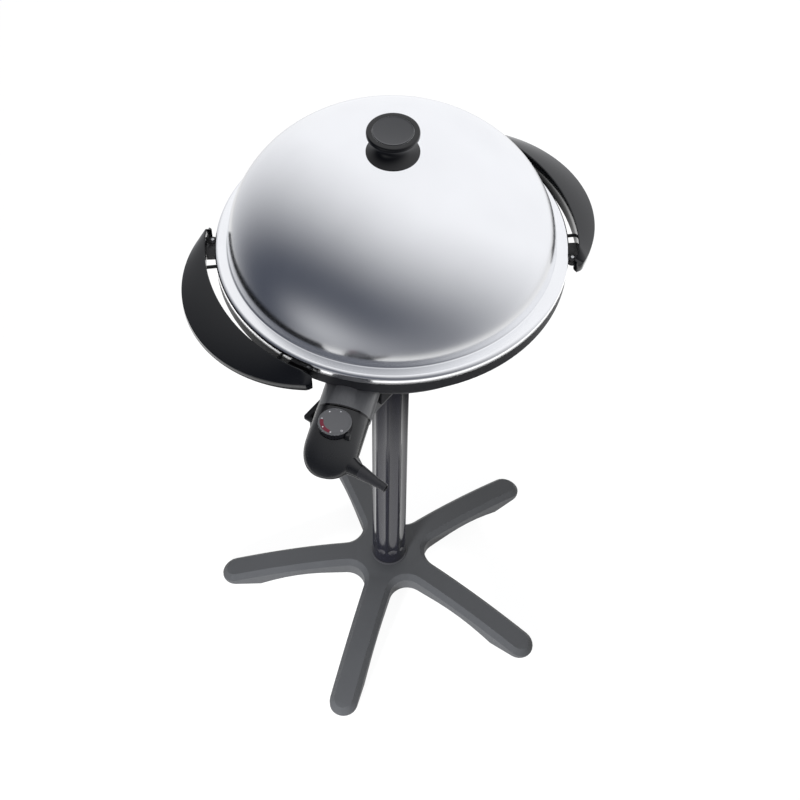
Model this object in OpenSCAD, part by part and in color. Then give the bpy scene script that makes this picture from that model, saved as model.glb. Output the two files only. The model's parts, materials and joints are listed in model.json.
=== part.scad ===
// Round electric grill on a pedestal: star base, fluted column, bowl with grill plate, domed lid.
// Origin: column axis at floor level. +Z up, +X right, -Y towards the user.

/* [Head] */
// Height of the top of the lid flange above the floor
flange_z = 807; // [720:1:860]
// Outer radius of the lid flange
lid_r = 220; // [212:1:228]
// Width of the flat flange round the dome
flange_w = 16; // [12:1:20]
// Height of the dome above the flange
dome_h = 148; // [125:1:165]
// Thickness of the lid's sheet metal
sheet_t = 1.2; // [0.8:0.1:1.6]
// Height of the rolled lip under the flange
lip_h = 12; // [10:0.5:14]
// Radius of the roll from the flange into the lip
lip_round = 5; // [3:0.5:7]
// Gap between pieces that lift off and their seats
seat_gap = 0.3; // [0.2:0.05:0.4]

/* [Knob] */
// Radius of the knob's top rim
knob_r = 31.5; // [29:0.5:34]
// Radius of the knob's foot on the dome
knob_foot_r = 32; // [29:0.5:34]
// Radius of the knob's waist
knob_waist_r = 20.5; // [17:0.5:23]
// Height of the knob from foot to rim
knob_h = 34; // [30:1:40]
// Radius of the inlaid disc in the knob's top
knob_disc_r = 24.4; // [22:0.2:26]

/* [Bowl] */
// Depth of the bowl from its rim to its underside
bowl_depth = 72; // [68:1:76]
// Height of the straight band below the rim
band_h = 17; // [14:1:19]
// Distance of the bowl's flat floor inside its rim
floor_in = 59.5; // [56.5:0.5:63.5]
// Step in from the rim band to the bowl's wall below it
shoulder_in = 16; // [13.5:0.5:19.5]
// Wall thickness of the bowl
bowl_wall = 3; // [2.5:0.25:3.5]
// Width of the inward ledge that carries the grill plate
ledge_w = 16; // [14:1:17]

/* [Grill plate] */
// Thickness of the plate's floor
plate_t = 6; // [5:0.5:7]
// Depth of the plate's floor below its rim
plate_dish = 16.5; // [15:0.5:18]
// Width of the plate's rim
plate_rim_w = 8; // [6:0.5:9]
// Spacing of the ribs
rib_pitch = 15.5; // [12:0.5:20]
// Width of a rib
rib_w = 5; // [3:0.5:7]
// Height of a rib
rib_h = 4; // [2.5:0.5:5]
// Radius of the drain hole
drain_r = 5; // [4:0.5:6]

/* [Heater] */
// Distance of the heating ring inside the edge of its pan
ring_in = 20; // [16:1:32]
// Radius of the heating tube
tube_r = 4; // [3.25:0.25:4.5]
// Drop from the lid flange to the heating ring and socket axis
socket_drop = 52; // [50:1:54]
// Distance of each contact pin from the probe axis
pin_spread = 10; // [9:0.5:11]
// Radius of a contact pin
pin_r = 2.4; // [2:0.1:2.6]

/* [Controller] */
// Direction of the thermostat controller round the bowl
ctrl_az = 256.4; // [252:0.2:260]
// Half width of the socket shroud
shroud_w = 32.5; // [31:0.5:33.5]
// Height of the shroud's arch above its widest line
shroud_rise = 36; // [33:0.5:37]
// Reach of the socket shroud's side edges past the bowl's rim
shroud_out = 17.5; // [13.5:1:18.5]
// Lean of the shroud's mouth from upright
mouth_lean = 18; // [14:1:19]
// Length of the controller from its mouth to its nose
ctrl_len = 89.3; // [84:0.5:100]
// Half width of the controller
ctrl_w = 32.5; // [31:0.5:33.5]
// Wall thickness of the moulded housings
shell_t = 2.5; // [2:0.25:3]
// Distance from the controller's mouth to the dial's axis
dial_in = 33.4; // [32:0.2:36]
// Radius of the dial's skirt
dial_r = 19.7; // [17:0.1:19.7]
// Height of the dial
dial_h = 9; // [8:0.5:11]
// Reach of the probe past the contact block
probe_len = 36; // [25:1:45]
// Length of the strain relief
relief_len = 37; // [30:1:50]
// Diameter of the lead that the strain relief takes
lead_d = 6.6; // [5.5:0.1:7]

/* [Handles] */
// Direction of the first handle's middle; the second is opposite
handle_az = 30; // [20:0.2:34]
// Width of a handle at its middle
handle_w = 41; // [35:1:53]
// Radius of a handle's outer edge
handle_arc_r = 162; // [156:1:168]
// Gap between the bowl and the handles
handle_gap = 12.5; // [11:0.5:15]
// Height of a handle at its inner edge
handle_h = 28.4; // [25:0.5:30]
// Height of a handle's outer wall in the middle
handle_edge_h = 8.7; // [7:0.5:12]
// Extra height of the outer wall at the tips
handle_tip_rise = 4; // [2:0.5:6]

/* [Drip tray] */
// Direction in which the drip tray pulls out
tray_az = 233.5; // [230:0.5:236]
// Sideways distance of the tray's middle from the column axis
tray_side = 69.5; // [69:0.5:72]
// Width of the tray inside its rails
tray_w = 52; // [46:1:54]
// Reach of the tray's front edge past the bowl's rim
tray_out = 9; // [6.5:0.5:14.5]
// Length of the tray
tray_len = 150; // [130:1:155]
// Depth of the tray
tray_depth = 24; // [18:1:30]

/* [Column] */
// Outer radius of the column
col_r = 26.7; // [25:0.1:28]
// Wall thickness of the column
col_wall = 4; // [3.5:0.25:5]
// Number of flutes round the column
flutes = 9; // [7:1:10]
// Half width of a flute
flute_w = 7.6; // [6:0.1:8]
// Depth of a flute
flute_depth = 2.5; // [1.5:0.1:2.8]
// Height of the plain band below the flutes
flute_start = 26; // [15:1:40]

/* [Star base] */
// Distance from the column axis to the tips of the arms
base_r = 276; // [255:1:290]
// Height of the hub's top
hub_z = 65; // [60:1:72]
// Fall of an arm's top from the hub to the middle of its round end
arm_fall = 43; // [38:1:46]
// Half width of an arm
arm_w = 22; // [20:0.5:24]
// Width of the sloped edge along an arm
arm_bevel = 7.5; // [5:0.5:9]
// Drop of the sloped edge
arm_bevel_drop = 9; // [6:0.5:10]
// Radius of the fillet between two arms
arm_fillet = 29; // [22:1:34]
// Height of the arch under each arm
arch_h = 29.5; // [24:0.5:32]
// Direction of the first arm
arm_az = 38.2; // [30:0.2:44]
// Height of the rubber foot pads below the arms
pad_h = 3; // [2:0.5:4]

/* [Hidden] */
$fn = 64;
arms = 5;
slip = 0.1;
touch = 0.02;

// lid
dome_r = lid_r - flange_w;
dome_steps = 24;
lip_z = flange_z - lip_h;
dome_in_z = flange_z + dome_h - sheet_t;
knob_screw_r = 2.5;
// bowl
rim_r = lid_r - 0.5;
floor_r = rim_r - floor_in;
shoulder_r = rim_r - shoulder_in;
rim_z = lip_z - seat_gap;
bowl_z = rim_z - bowl_depth;
floor_z = bowl_z + bowl_wall;
band_z = rim_z - band_h;
ledge_t = 3.5;
bowl_steps = 12;
// grill plate
plate_rim_z = flange_z - sheet_t - seat_gap;
plate_z = plate_rim_z - plate_dish;
plate_low = plate_z - plate_t;
plate_r = lid_r - sheet_t - 2.8;
plate_seat_z = rim_z + seat_gap;
plate_body_r = rim_r - ledge_w - 2;
plate_in_r = plate_body_r - 7;
rib_field_r = plate_in_r - 14;
drain_az = ctrl_az - 8;
drain_at = plate_body_r - 13;
spout_wall = 3;
// heater and socket
socket_z = flange_z - socket_drop;
pan_r = floor_r - 10;
ring_r = pan_r - ring_in;
pan_z = floor_z + 12;
pan_t = 1;
boss_r = 6;
support_az = ctrl_az + 45;
supports = 4;
support_pin_r = 2.5;
bend_r = 14;
block_u = floor_r + 8;
block_l = 18;
block_w = 15;
block_h = 11;
leg_in = 4;
probe_r = 2.8;
nose_w = 20;
nose_h = 12;
nose_u = block_u + block_l + 3;
nose_l = 66;
window_gap = 2;
// shroud and controller
shroud_z = flange_z - 60;
shroud_drop = 16;
seam = 1.2;
shroud_reach = rim_r + shroud_out;
shroud_in = shroud_reach - 72;
house_u = shroud_reach + seam;
ctrl_reach = house_u + ctrl_len;
dial_u = house_u + dial_in;
shroud_screw_u = shroud_in + 17;
split_z = shroud_z - 6;
house_span = 3 * ctrl_w;
house_n = 24;
house_m = 12;
relief_u = ctrl_reach - 18.3;
relief_y = ctrl_w + 7.8;
relief_turn = 66.6;
relief_r = 8.6;
relief_dip = 0;
relief_root = 30;
relief_flare = 13;
dial_z = flange_z - 33.5;
dial_gap = 0.6;
shaft_r = 3;
hub_flat = 41;
index_turn = 58;
index_r = 3.6;
screw_places = [[ctrl_reach - 21.5, -6], [dial_u - 9.6, 24], [dial_u - 9.6, -24]];
post_r = 4.5;
// handles
grip_in = rim_r + handle_gap;
handle_reach = grip_in + handle_w;
grip_c = handle_reach - handle_arc_r;
grip_meet = acos((pow(grip_in, 2) + pow(grip_c, 2) - pow(handle_arc_r, 2)) / (2 * grip_in * grip_c));
grip_z = flange_z;
grip_low = grip_z - handle_h;
grip_steps = 22;
grip_span = 0.842;
nose_span = 0.058;
nose_in = 4.5;
nose_drop = 10;
bracket_a = [26.5, 33];
strut_a = 22.5;
screw_a = 29.5;
bracket_z = grip_low + 0.9;
bracket_h = 9;
bracket_mid = bracket_z + 4.5;
bracket_end_r = 5.7;
bracket_step = 0.5;
// drip tray
tray_z = bowl_z - 5.2;
tray_wall = 2;
tray_lip = 3.5;
tray_lip_t = 2.5;
rail_t = 3;
rail_len = 76;
tray_reach = rim_r + tray_out;
tray_back = tray_reach - tray_len;
tab_w = 8;
tab_l = 20;
tab_fillet = 12;
// column and base
tip_x = base_r - arm_w;
socket_r = 33;
socket_in_r = col_r + 0.4;
socket_len = 70;
socket_flange_r = 48;
socket_flange_t = 4;
col_top = bowl_z - seat_gap;
cap_t = 3;
bolt_r = 4;
hub_boss_r = 22;
hub_boss_h = 34;
foot_len = 24;
base_shell = 4.5;
tip_post_r = 8.5;
ring_rise = 3;
ring_w = 2.4;

// Points of an arc with its own radius along each axis
function arc(c, rx, ry, a0, a1, n) = [for (i = [0 : n]) let (a = a0 + (a1 - a0) * i / n)
    [c[0] + rx * cos(a), c[1] + ry * sin(a)]];
// A face with four corners as two triangles
function quad(a, b, c, d) = [[a, b, c], [a, c, d]];
// Sides and ends of a solid made of m rings with n points each
function loft_faces(m, n) = concat(
    [for (k = [0 : m - 2]) for (i = [0 : n - 1]) let (j = (i + 1) % n)
        each quad(k * n + i, k * n + j, (k + 1) * n + j, (k + 1) * n + i)],
    [[for (i = [n - 1 : -1 : 0]) i]], [[for (i = [0 : n - 1]) (m - 1) * n + i]]);

// ---- star base ----
// Height of an arm's top at distance x from the column axis
function arm_top(x) = hub_z - arm_fall * pow(max(0, x - hub_flat) / (tip_x - hub_flat), 1.6);
arch_mid = 105;
arch_end = tip_x - 42;
function arm_bottom(x) = x <= arch_mid ? pad_h + arch_h
    : x >= arch_end ? pad_h
    : pad_h + arch_h * (1 - pow((x - arch_mid) / (arch_end - arch_mid), 2));
half_arm = 180 / arms;
fillet_at = (arm_w + arm_fillet) / sin(half_arm);
fillet_x = fillet_at * cos(half_arm);
// Right half of an arm's outline, inset by d, from the valley beside the hub to the tip
function arm_side(d) = concat(
    [for (i = [0 : 5]) let (a = 180 + half_arm + (90 - half_arm) * i / 5, r = arm_fillet + d)
        [fillet_x + r * cos(a), -(fillet_at * sin(half_arm) + r * sin(a))]],
    [for (i = [1 : 9]) [fillet_x + (tip_x - fillet_x) * i / 9, -(arm_w - d)]],
    [for (i = [1 : 6]) let (a = -90 + 90 * i / 6) [tip_x + (arm_w - d) * cos(a), (arm_w - d) * sin(a)]]);
// Whole outline of one arm: right side out to the tip, then the left side back
function arm_loop(d) = let (s = arm_side(d), n = len(s))
    concat(s, [for (i = [n - 2 : -1 : 0]) [s[i][0], -s[i][1]]]);
side_n = 21;
loop_n = 2 * side_n - 1;
function turned(p, a) = [p[0] * cos(a) - p[1] * sin(a), p[0] * sin(a) + p[1] * cos(a), p[2]];
// One outline round the whole star: d is its inset, level 0 the foot, 1 the wall's top, 2 the crown
function star_level(d, level, shell) = [for (k = [0 : arms - 1]) for (p = arm_loop(d + shell))
    turned([p[0], p[1], (level == 0 ? (shell > 0 ? -1 : arm_bottom(p[0]))
        : level == 1 ? arm_top(p[0]) - arm_bevel_drop : arm_top(p[0])) - (level > 0 ? shell : 0)],
        arm_az + k * 360 / arms)];
star_n = arms * loop_n;
function star_walls() = [for (level = [0, 1]) for (i = [0 : star_n - 1])
    let (j = (i + 1) % star_n, o = level * star_n)
    each quad(o + i, o + star_n + i, o + star_n + j, o + j)];
function star_cap(o, up) = [for (k = [0 : arms - 1]) for (i = [0 : side_n - 2])
    let (a = o + k * loop_n + i, b = o + k * loop_n + loop_n - 1 - i)
    each (i == side_n - 2 ? (up ? [[a, b, a + 1]] : [[a, a + 1, b]])
        : up ? quad(a, b, b - 1, a + 1) : quad(a, a + 1, b - 1, b))];
function star_hub(o, up) = let (
    ring = [for (k = [0 : arms - 1]) each [o + k * loop_n, o + k * loop_n + loop_n - 1]])
    [up ? [for (i = [len(ring) - 1 : -1 : 0]) ring[i]] : ring];

module star_solid(shell) {
    points = concat(star_level(0, 0, shell), star_level(0, 1, shell), star_level(arm_bevel, 2, shell));
    polyhedron(points, concat(star_walls(), star_cap(0, false), star_cap(2 * star_n, true),
        star_hub(0, false), star_hub(2 * star_n, true)), convexity = 10);
}

// Repeats its children at the five arms
module at_arms() {
    for (k = [0 : arms - 1])
        rotate([0, 0, arm_az + k * 360 / arms])
            children();
}

module star_base() {
    color("#1e2022")
    difference() {
        star_solid(0);
        difference() {
            star_solid(base_shell);
            translate([0, 0, hub_z - hub_boss_h])
                cylinder(r = hub_boss_r, h = hub_boss_h);
            at_arms()
                translate([tip_x, 0, -2])
                    cylinder(r = tip_post_r, h = 30, $fn = 12);
        }
        cylinder(r = bolt_r + 0.3, h = hub_z + 1);
        at_arms()
            translate([tip_x, 0, 0])
                cylinder(r = 4 + slip, h = 10);
    }
}

// Rubber pads under the arm tips, each with a stud in the arm
module foot_pads() {
    color("#151515")
    at_arms()
        translate([tip_x, 0, 0]) {
            cylinder(r1 = 15, r2 = 16, h = pad_h);
            cylinder(r = 4, h = 9);
        }
}

// ---- column ----
module column_tube() {
    turn = asin(flute_w / col_r);
    side = col_r * (cos(turn) - 1) + flute_depth;
    cut_r = (pow(side, 2) + pow(flute_w, 2)) / (2 * side);
    cut_at = col_r - flute_depth + cut_r;
    cut_low = sqrt(pow(cut_r, 2) - pow(cut_at - col_r, 2));
    color("#101114")
    difference() {
        translate([0, 0, hub_z])
            cylinder(r = col_r, h = col_top - cap_t - hub_z);
        translate([0, 0, hub_z - 1])
            cylinder(r = col_r - col_wall, h = col_top - hub_z + 2);
        for (k = [0 : flutes - 1])
            rotate([0, 0, 282.2 + k * 360 / flutes])
                translate([cut_at, 0, hub_z + flute_start + cut_low]) {
                    cylinder(r = cut_r, h = col_top - hub_z);
                    sphere(r = cut_r);
                }
    }
}

// Thin ring that covers the joint between the tube and the hub
module base_ring() {
    color("#17181b")
    rotate_extrude()
        polygon([[col_r + slip, hub_z], [col_r + ring_w, hub_z], [col_r + ring_w, hub_z + ring_rise - 1],
            [col_r + ring_w - 1, hub_z + ring_rise], [col_r + slip, hub_z + ring_rise]]);
}

// Threaded plug in the tube's lower end
module column_foot() {
    color("#8a8d90")
    translate([0, 0, hub_z])
        difference() {
            cylinder(r = col_r - col_wall - slip, h = foot_len);
            translate([0, 0, -1])
                cylinder(r = bolt_r + slip, h = foot_len + 2);
        }
}

// Bolt from below through the hub into the plug, with a wide washer and a nut
module stand_bolt() {
    low = hub_z - hub_boss_h;
    color("#a9acae") {
        translate([0, 0, low - 2])
            difference() {
                cylinder(r = 14, h = 2);
                translate([0, 0, -1])
                    cylinder(r = bolt_r - 1, h = 4);
            }
        translate([0, 0, low - 8])
            cylinder(r = 7.5, h = 6, $fn = 6);
        translate([0, 0, low - 3])
            cylinder(r = bolt_r, h = hub_boss_h + foot_len + 12);
        translate([0, 0, hub_z + foot_len])
            cylinder(r = 7.5, h = 6, $fn = 6);
    }
}

// Domed plug in the tube's upper end, on which the head rests
module column_cap() {
    color("#1b1c1e")
    rotate_extrude()
        polygon([[0, col_top - cap_t - 18], [col_r - col_wall - slip, col_top - cap_t - 18],
            [col_r - col_wall - slip, col_top - cap_t], [col_r - 0.5, col_top - cap_t],
            [col_r - 0.5, col_top - 1], [col_r - 1.5, col_top], [0, col_top]]);
}

// ---- bowl ----
// Half section of the bowl's outside, grown by d
function bowl_outside(d) = concat([[0, bowl_z - d]],
    [for (p = arc([floor_r, band_z], shoulder_r - floor_r, band_z - bowl_z, -90, 0, bowl_steps))
        [p[0] + d, p[1] - d]],
    [[rim_r - 1.5 + d, band_z - d], [rim_r + d, band_z + 1.5 - d], [rim_r + d, rim_z]]);
function bowl_inside() = concat(
    [[rim_r - bowl_wall, band_z + bowl_wall], [shoulder_r - bowl_wall, band_z + bowl_wall]],
    arc([floor_r, band_z], shoulder_r - bowl_wall - floor_r, band_z - floor_z, 0, -90, bowl_steps),
    [[0, floor_z]]);

// Places its children at radius r in direction az
module at_polar(az, r, z) {
    rotate([0, 0, az])
        translate([r, 0, z])
            children();
}

// Four screw places round the middle of the bowl's floor
module neck_places() {
    for (a = [45 : 90 : 315])
        at_polar(a, (socket_r + socket_flange_r) / 2, bowl_z)
            children();
}

module bowl() {
    color("#232528")
    difference() {
        union() {
            rotate_extrude()
                polygon(concat(bowl_outside(0),
                    [[rim_r - ledge_w, rim_z], [rim_r - ledge_w, rim_z - ledge_t],
                        [rim_r - bowl_wall, rim_z - ledge_t]], bowl_inside()));
            for (k = [0 : supports - 1])
                at_polar(support_az + k * 360 / supports, ring_r, floor_z - 1)
                    cylinder(r = boss_r, h = pan_z - floor_z + 1);
        }
        for (k = [0 : supports - 1])
            at_polar(support_az + k * 360 / supports, ring_r, floor_z)
                cylinder(r = support_pin_r + slip, h = 30);
        neck_places()
            translate([0, 0, -1])
                cylinder(r = 2.8 + slip, h = bowl_wall + 2);
        at_polar(drain_az, drain_at, bowl_z - 5)
            cylinder(r = drain_r + spout_wall + 1, h = 40);
        rotate([0, 0, ctrl_az])
            translate([floor_r + 18, -nose_w - window_gap, socket_z - nose_h - window_gap])
                cube([40, 2 * (nose_w + window_gap), 2 * (nose_h + window_gap)]);
        rotate([0, 0, ctrl_az])
            for (y = [-26.5, 26.5])
                translate([floor_r + 18, y, shroud_z])
                    rotate([0, 90, 0])
                        cylinder(r = 1.7, h = 30);
        handle_places(screw_a)
            translate([rim_r - 10, 0, bracket_mid])
                rotate([0, 90, 0])
                    cylinder(r = 2.5 + slip, h = 20);
    }
}

// Socket under the bowl that slips over the column
module neck_socket() {
    color("#232528")
    difference() {
        rotate_extrude()
            polygon([[socket_in_r, bowl_z - socket_len], [socket_r - 1, bowl_z - socket_len],
                [socket_r, bowl_z - socket_len + 1], [socket_r, bowl_z - 16], [socket_r + 2, bowl_z - 9],
                [socket_r + 6, bowl_z - socket_flange_t], [socket_flange_r, bowl_z - socket_flange_t],
                [socket_flange_r, bowl_z], [socket_in_r, bowl_z]]);
        neck_places()
            translate([0, 0, -20])
                cylinder(r = 2.8 + slip, h = 30);
        neck_places()
            translate([0, 0, -20 - socket_flange_t])
                cylinder(r = 6, h = 20);
    }
}

module neck_screws() {
    color("#9b9ea1")
    neck_places() {
        translate([0, 0, -socket_flange_t - 3.5])
            cylinder(r = 5, h = 3.5);
        translate([0, 0, -socket_flange_t - 1])
            cylinder(r = 2.8, h = socket_flange_t + bowl_wall + 7);
        translate([0, 0, bowl_wall])
            cylinder(r = 5, h = 4.5, $fn = 6);
    }
}

// ---- heater ----
// Bright pan below the heating ring, with a turned-up edge
module reflector_pan() {
    color("#c3c6c8")
    difference() {
        rotate_extrude()
            polygon([[0, pan_z], [pan_r - 6, pan_z], [pan_r, pan_z + 6], [pan_r - 0.8, pan_z + 6.8],
                [pan_r - 6.4, pan_z + pan_t], [0, pan_z + pan_t]]);
        for (k = [0 : supports - 1])
            at_polar(support_az + k * 360 / supports, ring_r, pan_z - 1)
                cylinder(r = support_pin_r + slip, h = 4);
    }
}

// Heating ring whose two ends turn outwards to the terminal block, with thicker sheaths in the bends
module heating_element() {
    bend_u = sqrt(pow(ring_r + bend_r, 2) - pow(pin_spread + bend_r, 2));
    bend_a = asin((pin_spread + bend_r) / (ring_r + bend_r));
    lap_a = 0.3;
    lap = 0.5;
    color("#54524f")
    translate([0, 0, socket_z])
        rotate([0, 0, ctrl_az]) {
            rotate([0, 0, bend_a - lap_a])
                rotate_extrude(angle = 360 - 2 * (bend_a - lap_a))
                    translate([ring_r, 0])
                        circle(r = tube_r);
            for (side = [0, 1])
                mirror([0, side, 0]) {
                    translate([bend_u, pin_spread + bend_r, 0])
                        rotate([0, 0, 180 + bend_a])
                            rotate_extrude(angle = 90 - bend_a)
                                translate([bend_r, 0])
                                    circle(r = tube_r + 0.2);
                    translate([bend_u - lap, pin_spread, 0])
                        rotate([0, 90, 0])
                            cylinder(r = tube_r, h = block_u + leg_in - bend_u + lap);
                }
        }
}

// Cradles that stand on the pan and carry the heating ring
module element_supports() {
    color("#b9bbbd")
    difference() {
        for (k = [0 : supports - 1])
            at_polar(support_az + k * 360 / supports, ring_r, pan_z + pan_t) {
                cylinder(r = boss_r, h = socket_z - pan_z - pan_t);
                translate([0, 0, -9])
                    cylinder(r = support_pin_r, h = 10);
            }
        translate([0, 0, socket_z])
            rotate_extrude()
                translate([ring_r, 0])
                    circle(r = tube_r + slip);
    }
}

// Angle plate behind the terminal block
module terminal_bracket() {
    color("#b9bbbd")
    rotate([0, 0, ctrl_az])
        difference() {
            translate([0, block_w, floor_z])
                rotate([90, 0, 0])
                    linear_extrude(2 * block_w)
                        polygon([[block_u - 28, 0], [block_u - 10, 0], [block_u, 3],
                            [block_u, socket_z + block_h - floor_z],
                            [block_u - 2, socket_z + block_h - floor_z],
                            [block_u - 2, 4.6], [block_u - 10.5, 2], [block_u - 28, 2]]);
            for (y = [-pin_spread, pin_spread])
                translate([block_u - 5, y, socket_z])
                    rotate([0, 90, 0])
                        cylinder(r = tube_r + 0.5, h = 10);
            translate([block_u - 5, 0, socket_z])
                rotate([0, 90, 0])
                    cylinder(r = probe_r + 0.6, h = 10);
        }
}

module terminal_block() {
    color("#d9d4c7")
    rotate([0, 0, ctrl_az])
        difference() {
            translate([block_u, -block_w, socket_z - block_h])
                cube([block_l, 2 * block_w, 2 * block_h]);
            translate([block_u - 1, 0, socket_z])
                rotate([0, 90, 0])
                    cylinder(r = probe_r + 0.6, h = block_l + 2);
            for (y = [-pin_spread, pin_spread])
                translate([block_u, y, socket_z])
                    rotate([0, 90, 0]) {
                        translate([0, 0, -1])
                            cylinder(r = tube_r + slip, h = leg_in + 1);
                        cylinder(r = pin_r + slip, h = block_l + 1);
                    }
        }
}

module terminal_pins() {
    color("#cfd1d3")
    rotate([0, 0, ctrl_az])
        for (y = [-pin_spread, pin_spread])
            translate([block_u + leg_in, y, socket_z])
                rotate([0, 90, 0]) {
                    cylinder(r = pin_r, h = block_l - leg_in + 22);
                    translate([0, 0, block_l - leg_in + 22])
                        cylinder(r1 = pin_r, r2 = pin_r - 1.2, h = 2);
                }
}

// ---- socket shroud ----
// Section of the shroud or its hollow: arch above, rounded trough below
function tunnel(w, rise, drop) = concat(arc([0, 0], w, rise, 0, 180, 20),
    arc([-w + 8, -drop + 8], 8, 8, 180, 270, 4), arc([w - 8, -drop + 8], 8, 8, 270, 360, 4));

module tunnel_solid(inset, u0) {
    translate([u0, 0, shroud_z])
        rotate([90, 0, 90])
            linear_extrude(120)
                polygon(tunnel(shroud_w - inset, shroud_rise - inset, shroud_drop - inset));
}

module bowl_body(d) {
    rotate_extrude()
        polygon(concat(bowl_outside(d), [[0, rim_z]]));
}

module socket_shroud() {
    top = shroud_rise + 5;
    low = shroud_drop + 5;
    color("#1c1d20")
    difference() {
        rotate([0, 0, ctrl_az])
            difference() {
                intersection() {
                    tunnel_solid(0, shroud_in);
                    translate([0, shroud_w + 5, shroud_z])
                        rotate([90, 0, 0])
                            linear_extrude(2 * shroud_w + 10)
                                polygon([[shroud_in - 15, -low], [shroud_reach - low * tan(mouth_lean), -low],
                                    [shroud_reach + top * tan(mouth_lean), top], [shroud_in - 15, top]]);
                }
                difference() {
                    tunnel_solid(shell_t, shroud_in - 1);
                    for (y = [-26.5, 26.5])
                        translate([shroud_in - 15, y, shroud_z])
                            rotate([0, 90, 0])
                                cylinder(r = 4, h = 66);
                }
                for (y = [-26.5, 26.5])
                    translate([shroud_in + 5, y, shroud_z])
                        rotate([0, 90, 0])
                            cylinder(r = 1.5 + slip, h = 43);
            }
        bowl_body(touch);
    }
}

module shroud_screws() {
    color("#9b9ea1")
    rotate([0, 0, ctrl_az])
        for (y = [-26.5, 26.5])
            translate([shroud_screw_u, y, shroud_z])
                rotate([0, 90, 0]) {
                    cylinder(r = 3, h = 2.5);
                    cylinder(r = 1.5, h = 28);
                }
}

// ---- drip tray ----
// Rails under the bowl that carry the tray's side lips
module tray_rails() {
    reach = tray_w / 2 + tray_lip;
    lip_low = tray_z - tray_lip_t - seat_gap;
    color("#2a2c2f")
    difference() {
        rotate([0, 0, tray_az])
            for (side = [0, 1])
                translate([tray_back + 2, tray_side, 0])
                    mirror([0, side, 0])
                        translate([0, reach + seat_gap, 0]) {
                            translate([0, 0, lip_low - rail_t])
                                cube([rail_len, rail_t, 80]);
                            translate([0, -tray_lip + 0.6, lip_low - rail_t])
                                cube([rail_len, tray_lip, rail_t]);
                        }
        bowl_body(touch);
        translate([0, 0, band_z])
            cylinder(r = rim_r + 60, h = 100);
    }
}

// Outline of the tray with a rounded front and rear
function tray_outline(d, r) = concat(
    arc([tray_back + r, -tray_w / 2 + r], r + d, r + d, 180, 270, 5),
    arc([tray_reach - r, -tray_w / 2 + r], r + d, r + d, 270, 360, 5),
    arc([tray_reach - r, tray_w / 2 - r], r + d, r + d, 0, 90, 5),
    arc([tray_back + r, tray_w / 2 - r], r + d, r + d, 90, 180, 5));

// Pull tab in front of the tray, with a hollow fillet on both sides
function tab_outline() = let (f = tab_fillet, x = tray_reach + tray_lip - 0.5) concat(
    arc([x + f, -tab_w - f], f, f, 180, 90, 5),
    arc([x + tab_l - 6, -tab_w + 6], 6, 6, 270, 360, 5),
    arc([x + tab_l - 6, tab_w - 6], 6, 6, 0, 90, 5),
    arc([x + f, tab_w + f], f, f, 270, 180, 5));

module drip_tray() {
    color("#3a3c3f")
    rotate([0, 0, tray_az])
        translate([0, tray_side, 0])
            difference() {
                union() {
                    translate([0, 0, tray_z - tray_depth])
                        linear_extrude(tray_depth)
                            polygon(tray_outline(0, 8));
                    translate([0, 0, tray_z - tray_lip_t])
                        linear_extrude(tray_lip_t)
                            polygon(tray_outline(tray_lip, 0.5));
                    translate([0, 0, tray_z - tray_lip_t])
                        linear_extrude(tray_lip_t)
                            polygon(tab_outline());
                }
                translate([0, 0, tray_z - tray_depth + tray_wall])
                    linear_extrude(tray_depth)
                        polygon(tray_outline(-tray_wall, 8));
            }
}

// ---- handles ----
// Places its children at angle a to both sides of the middle of each handle
module handle_places(a) {
    for (half = [0, 180])
        for (side = [-1, 1])
            rotate([0, 0, handle_az + half + side * a])
                children();
}

// Outer edge of a handle, seen from the column axis at angle a
function grip_out(a) = grip_c * cos(a) + sqrt(pow(handle_arc_r, 2) - pow(grip_c * sin(a), 2));
// One section across a handle, d smaller at both sides; the tips turn in to a low rounded nose
function grip_section(a, d) = let (
    tip = min(1, max(0, (abs(a) / grip_meet - grip_span) / nose_span)),
    x0 = grip_in + d - nose_in * pow(tip, 2),
    x1 = grip_out(a) - d,
    e = grip_low + handle_edge_h + handle_tip_rise * pow(a / grip_meet, 2),
    t = min(1.6, (x1 - x0) / 3),
    crest = grip_z - nose_drop * pow(tip, 1.5) - d / 2,
    slope = (crest - e) / (x1 - x0))
    [for (p = [[x0, grip_low + t], [x0 + t, grip_low], [x1 - t, grip_low], [x1, grip_low + t],
        [x1, e - t], [x1 - t / 2, e], [x1 - 2 * t, e + slope * 2 * t * 0.9],
        [x0 + t, crest - slope * t * 0.6], [x0 + t / 3, crest - 0.3], [x0, crest - t]])
        [p[0] * cos(a), p[0] * sin(a), p[1]]];

module handle_solid(az) {
    ends = [[0.015, 0], [0.03, 0], [0.045, 0], [nose_span, 0],
        [0.071, 0.35], [0.083, 1.5], [0.09, 2.7], [0.094, 3.9]];
    stations = concat([for (i = [7 : -1 : 0]) [-grip_span - ends[i][0], ends[i][1]]],
        [for (i = [0 : grip_steps]) [grip_span * (2 * i / grip_steps - 1), 0]],
        [for (e = ends) [grip_span + e[0], e[1]]]);
    rings = [for (s = stations) grip_section(s[0] * grip_meet, s[1])];
    rotate([0, 0, az])
        difference() {
            polyhedron([for (r = rings) each r], loft_faces(len(rings), 10), convexity = 6);
            for (side = [-1, 1])
                rotate([0, 0, side * screw_a])
                    translate([grip_in - 5, 0, bracket_mid])
                        rotate([0, 90, 0])
                            cylinder(r = 2.5 + slip, h = 14);
        }
}

module handle_left() {
    color("#0d0e11")
    handle_solid(handle_az + 180);
}

module handle_right() {
    color("#0d0e11")
    handle_solid(handle_az);
}

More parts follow.
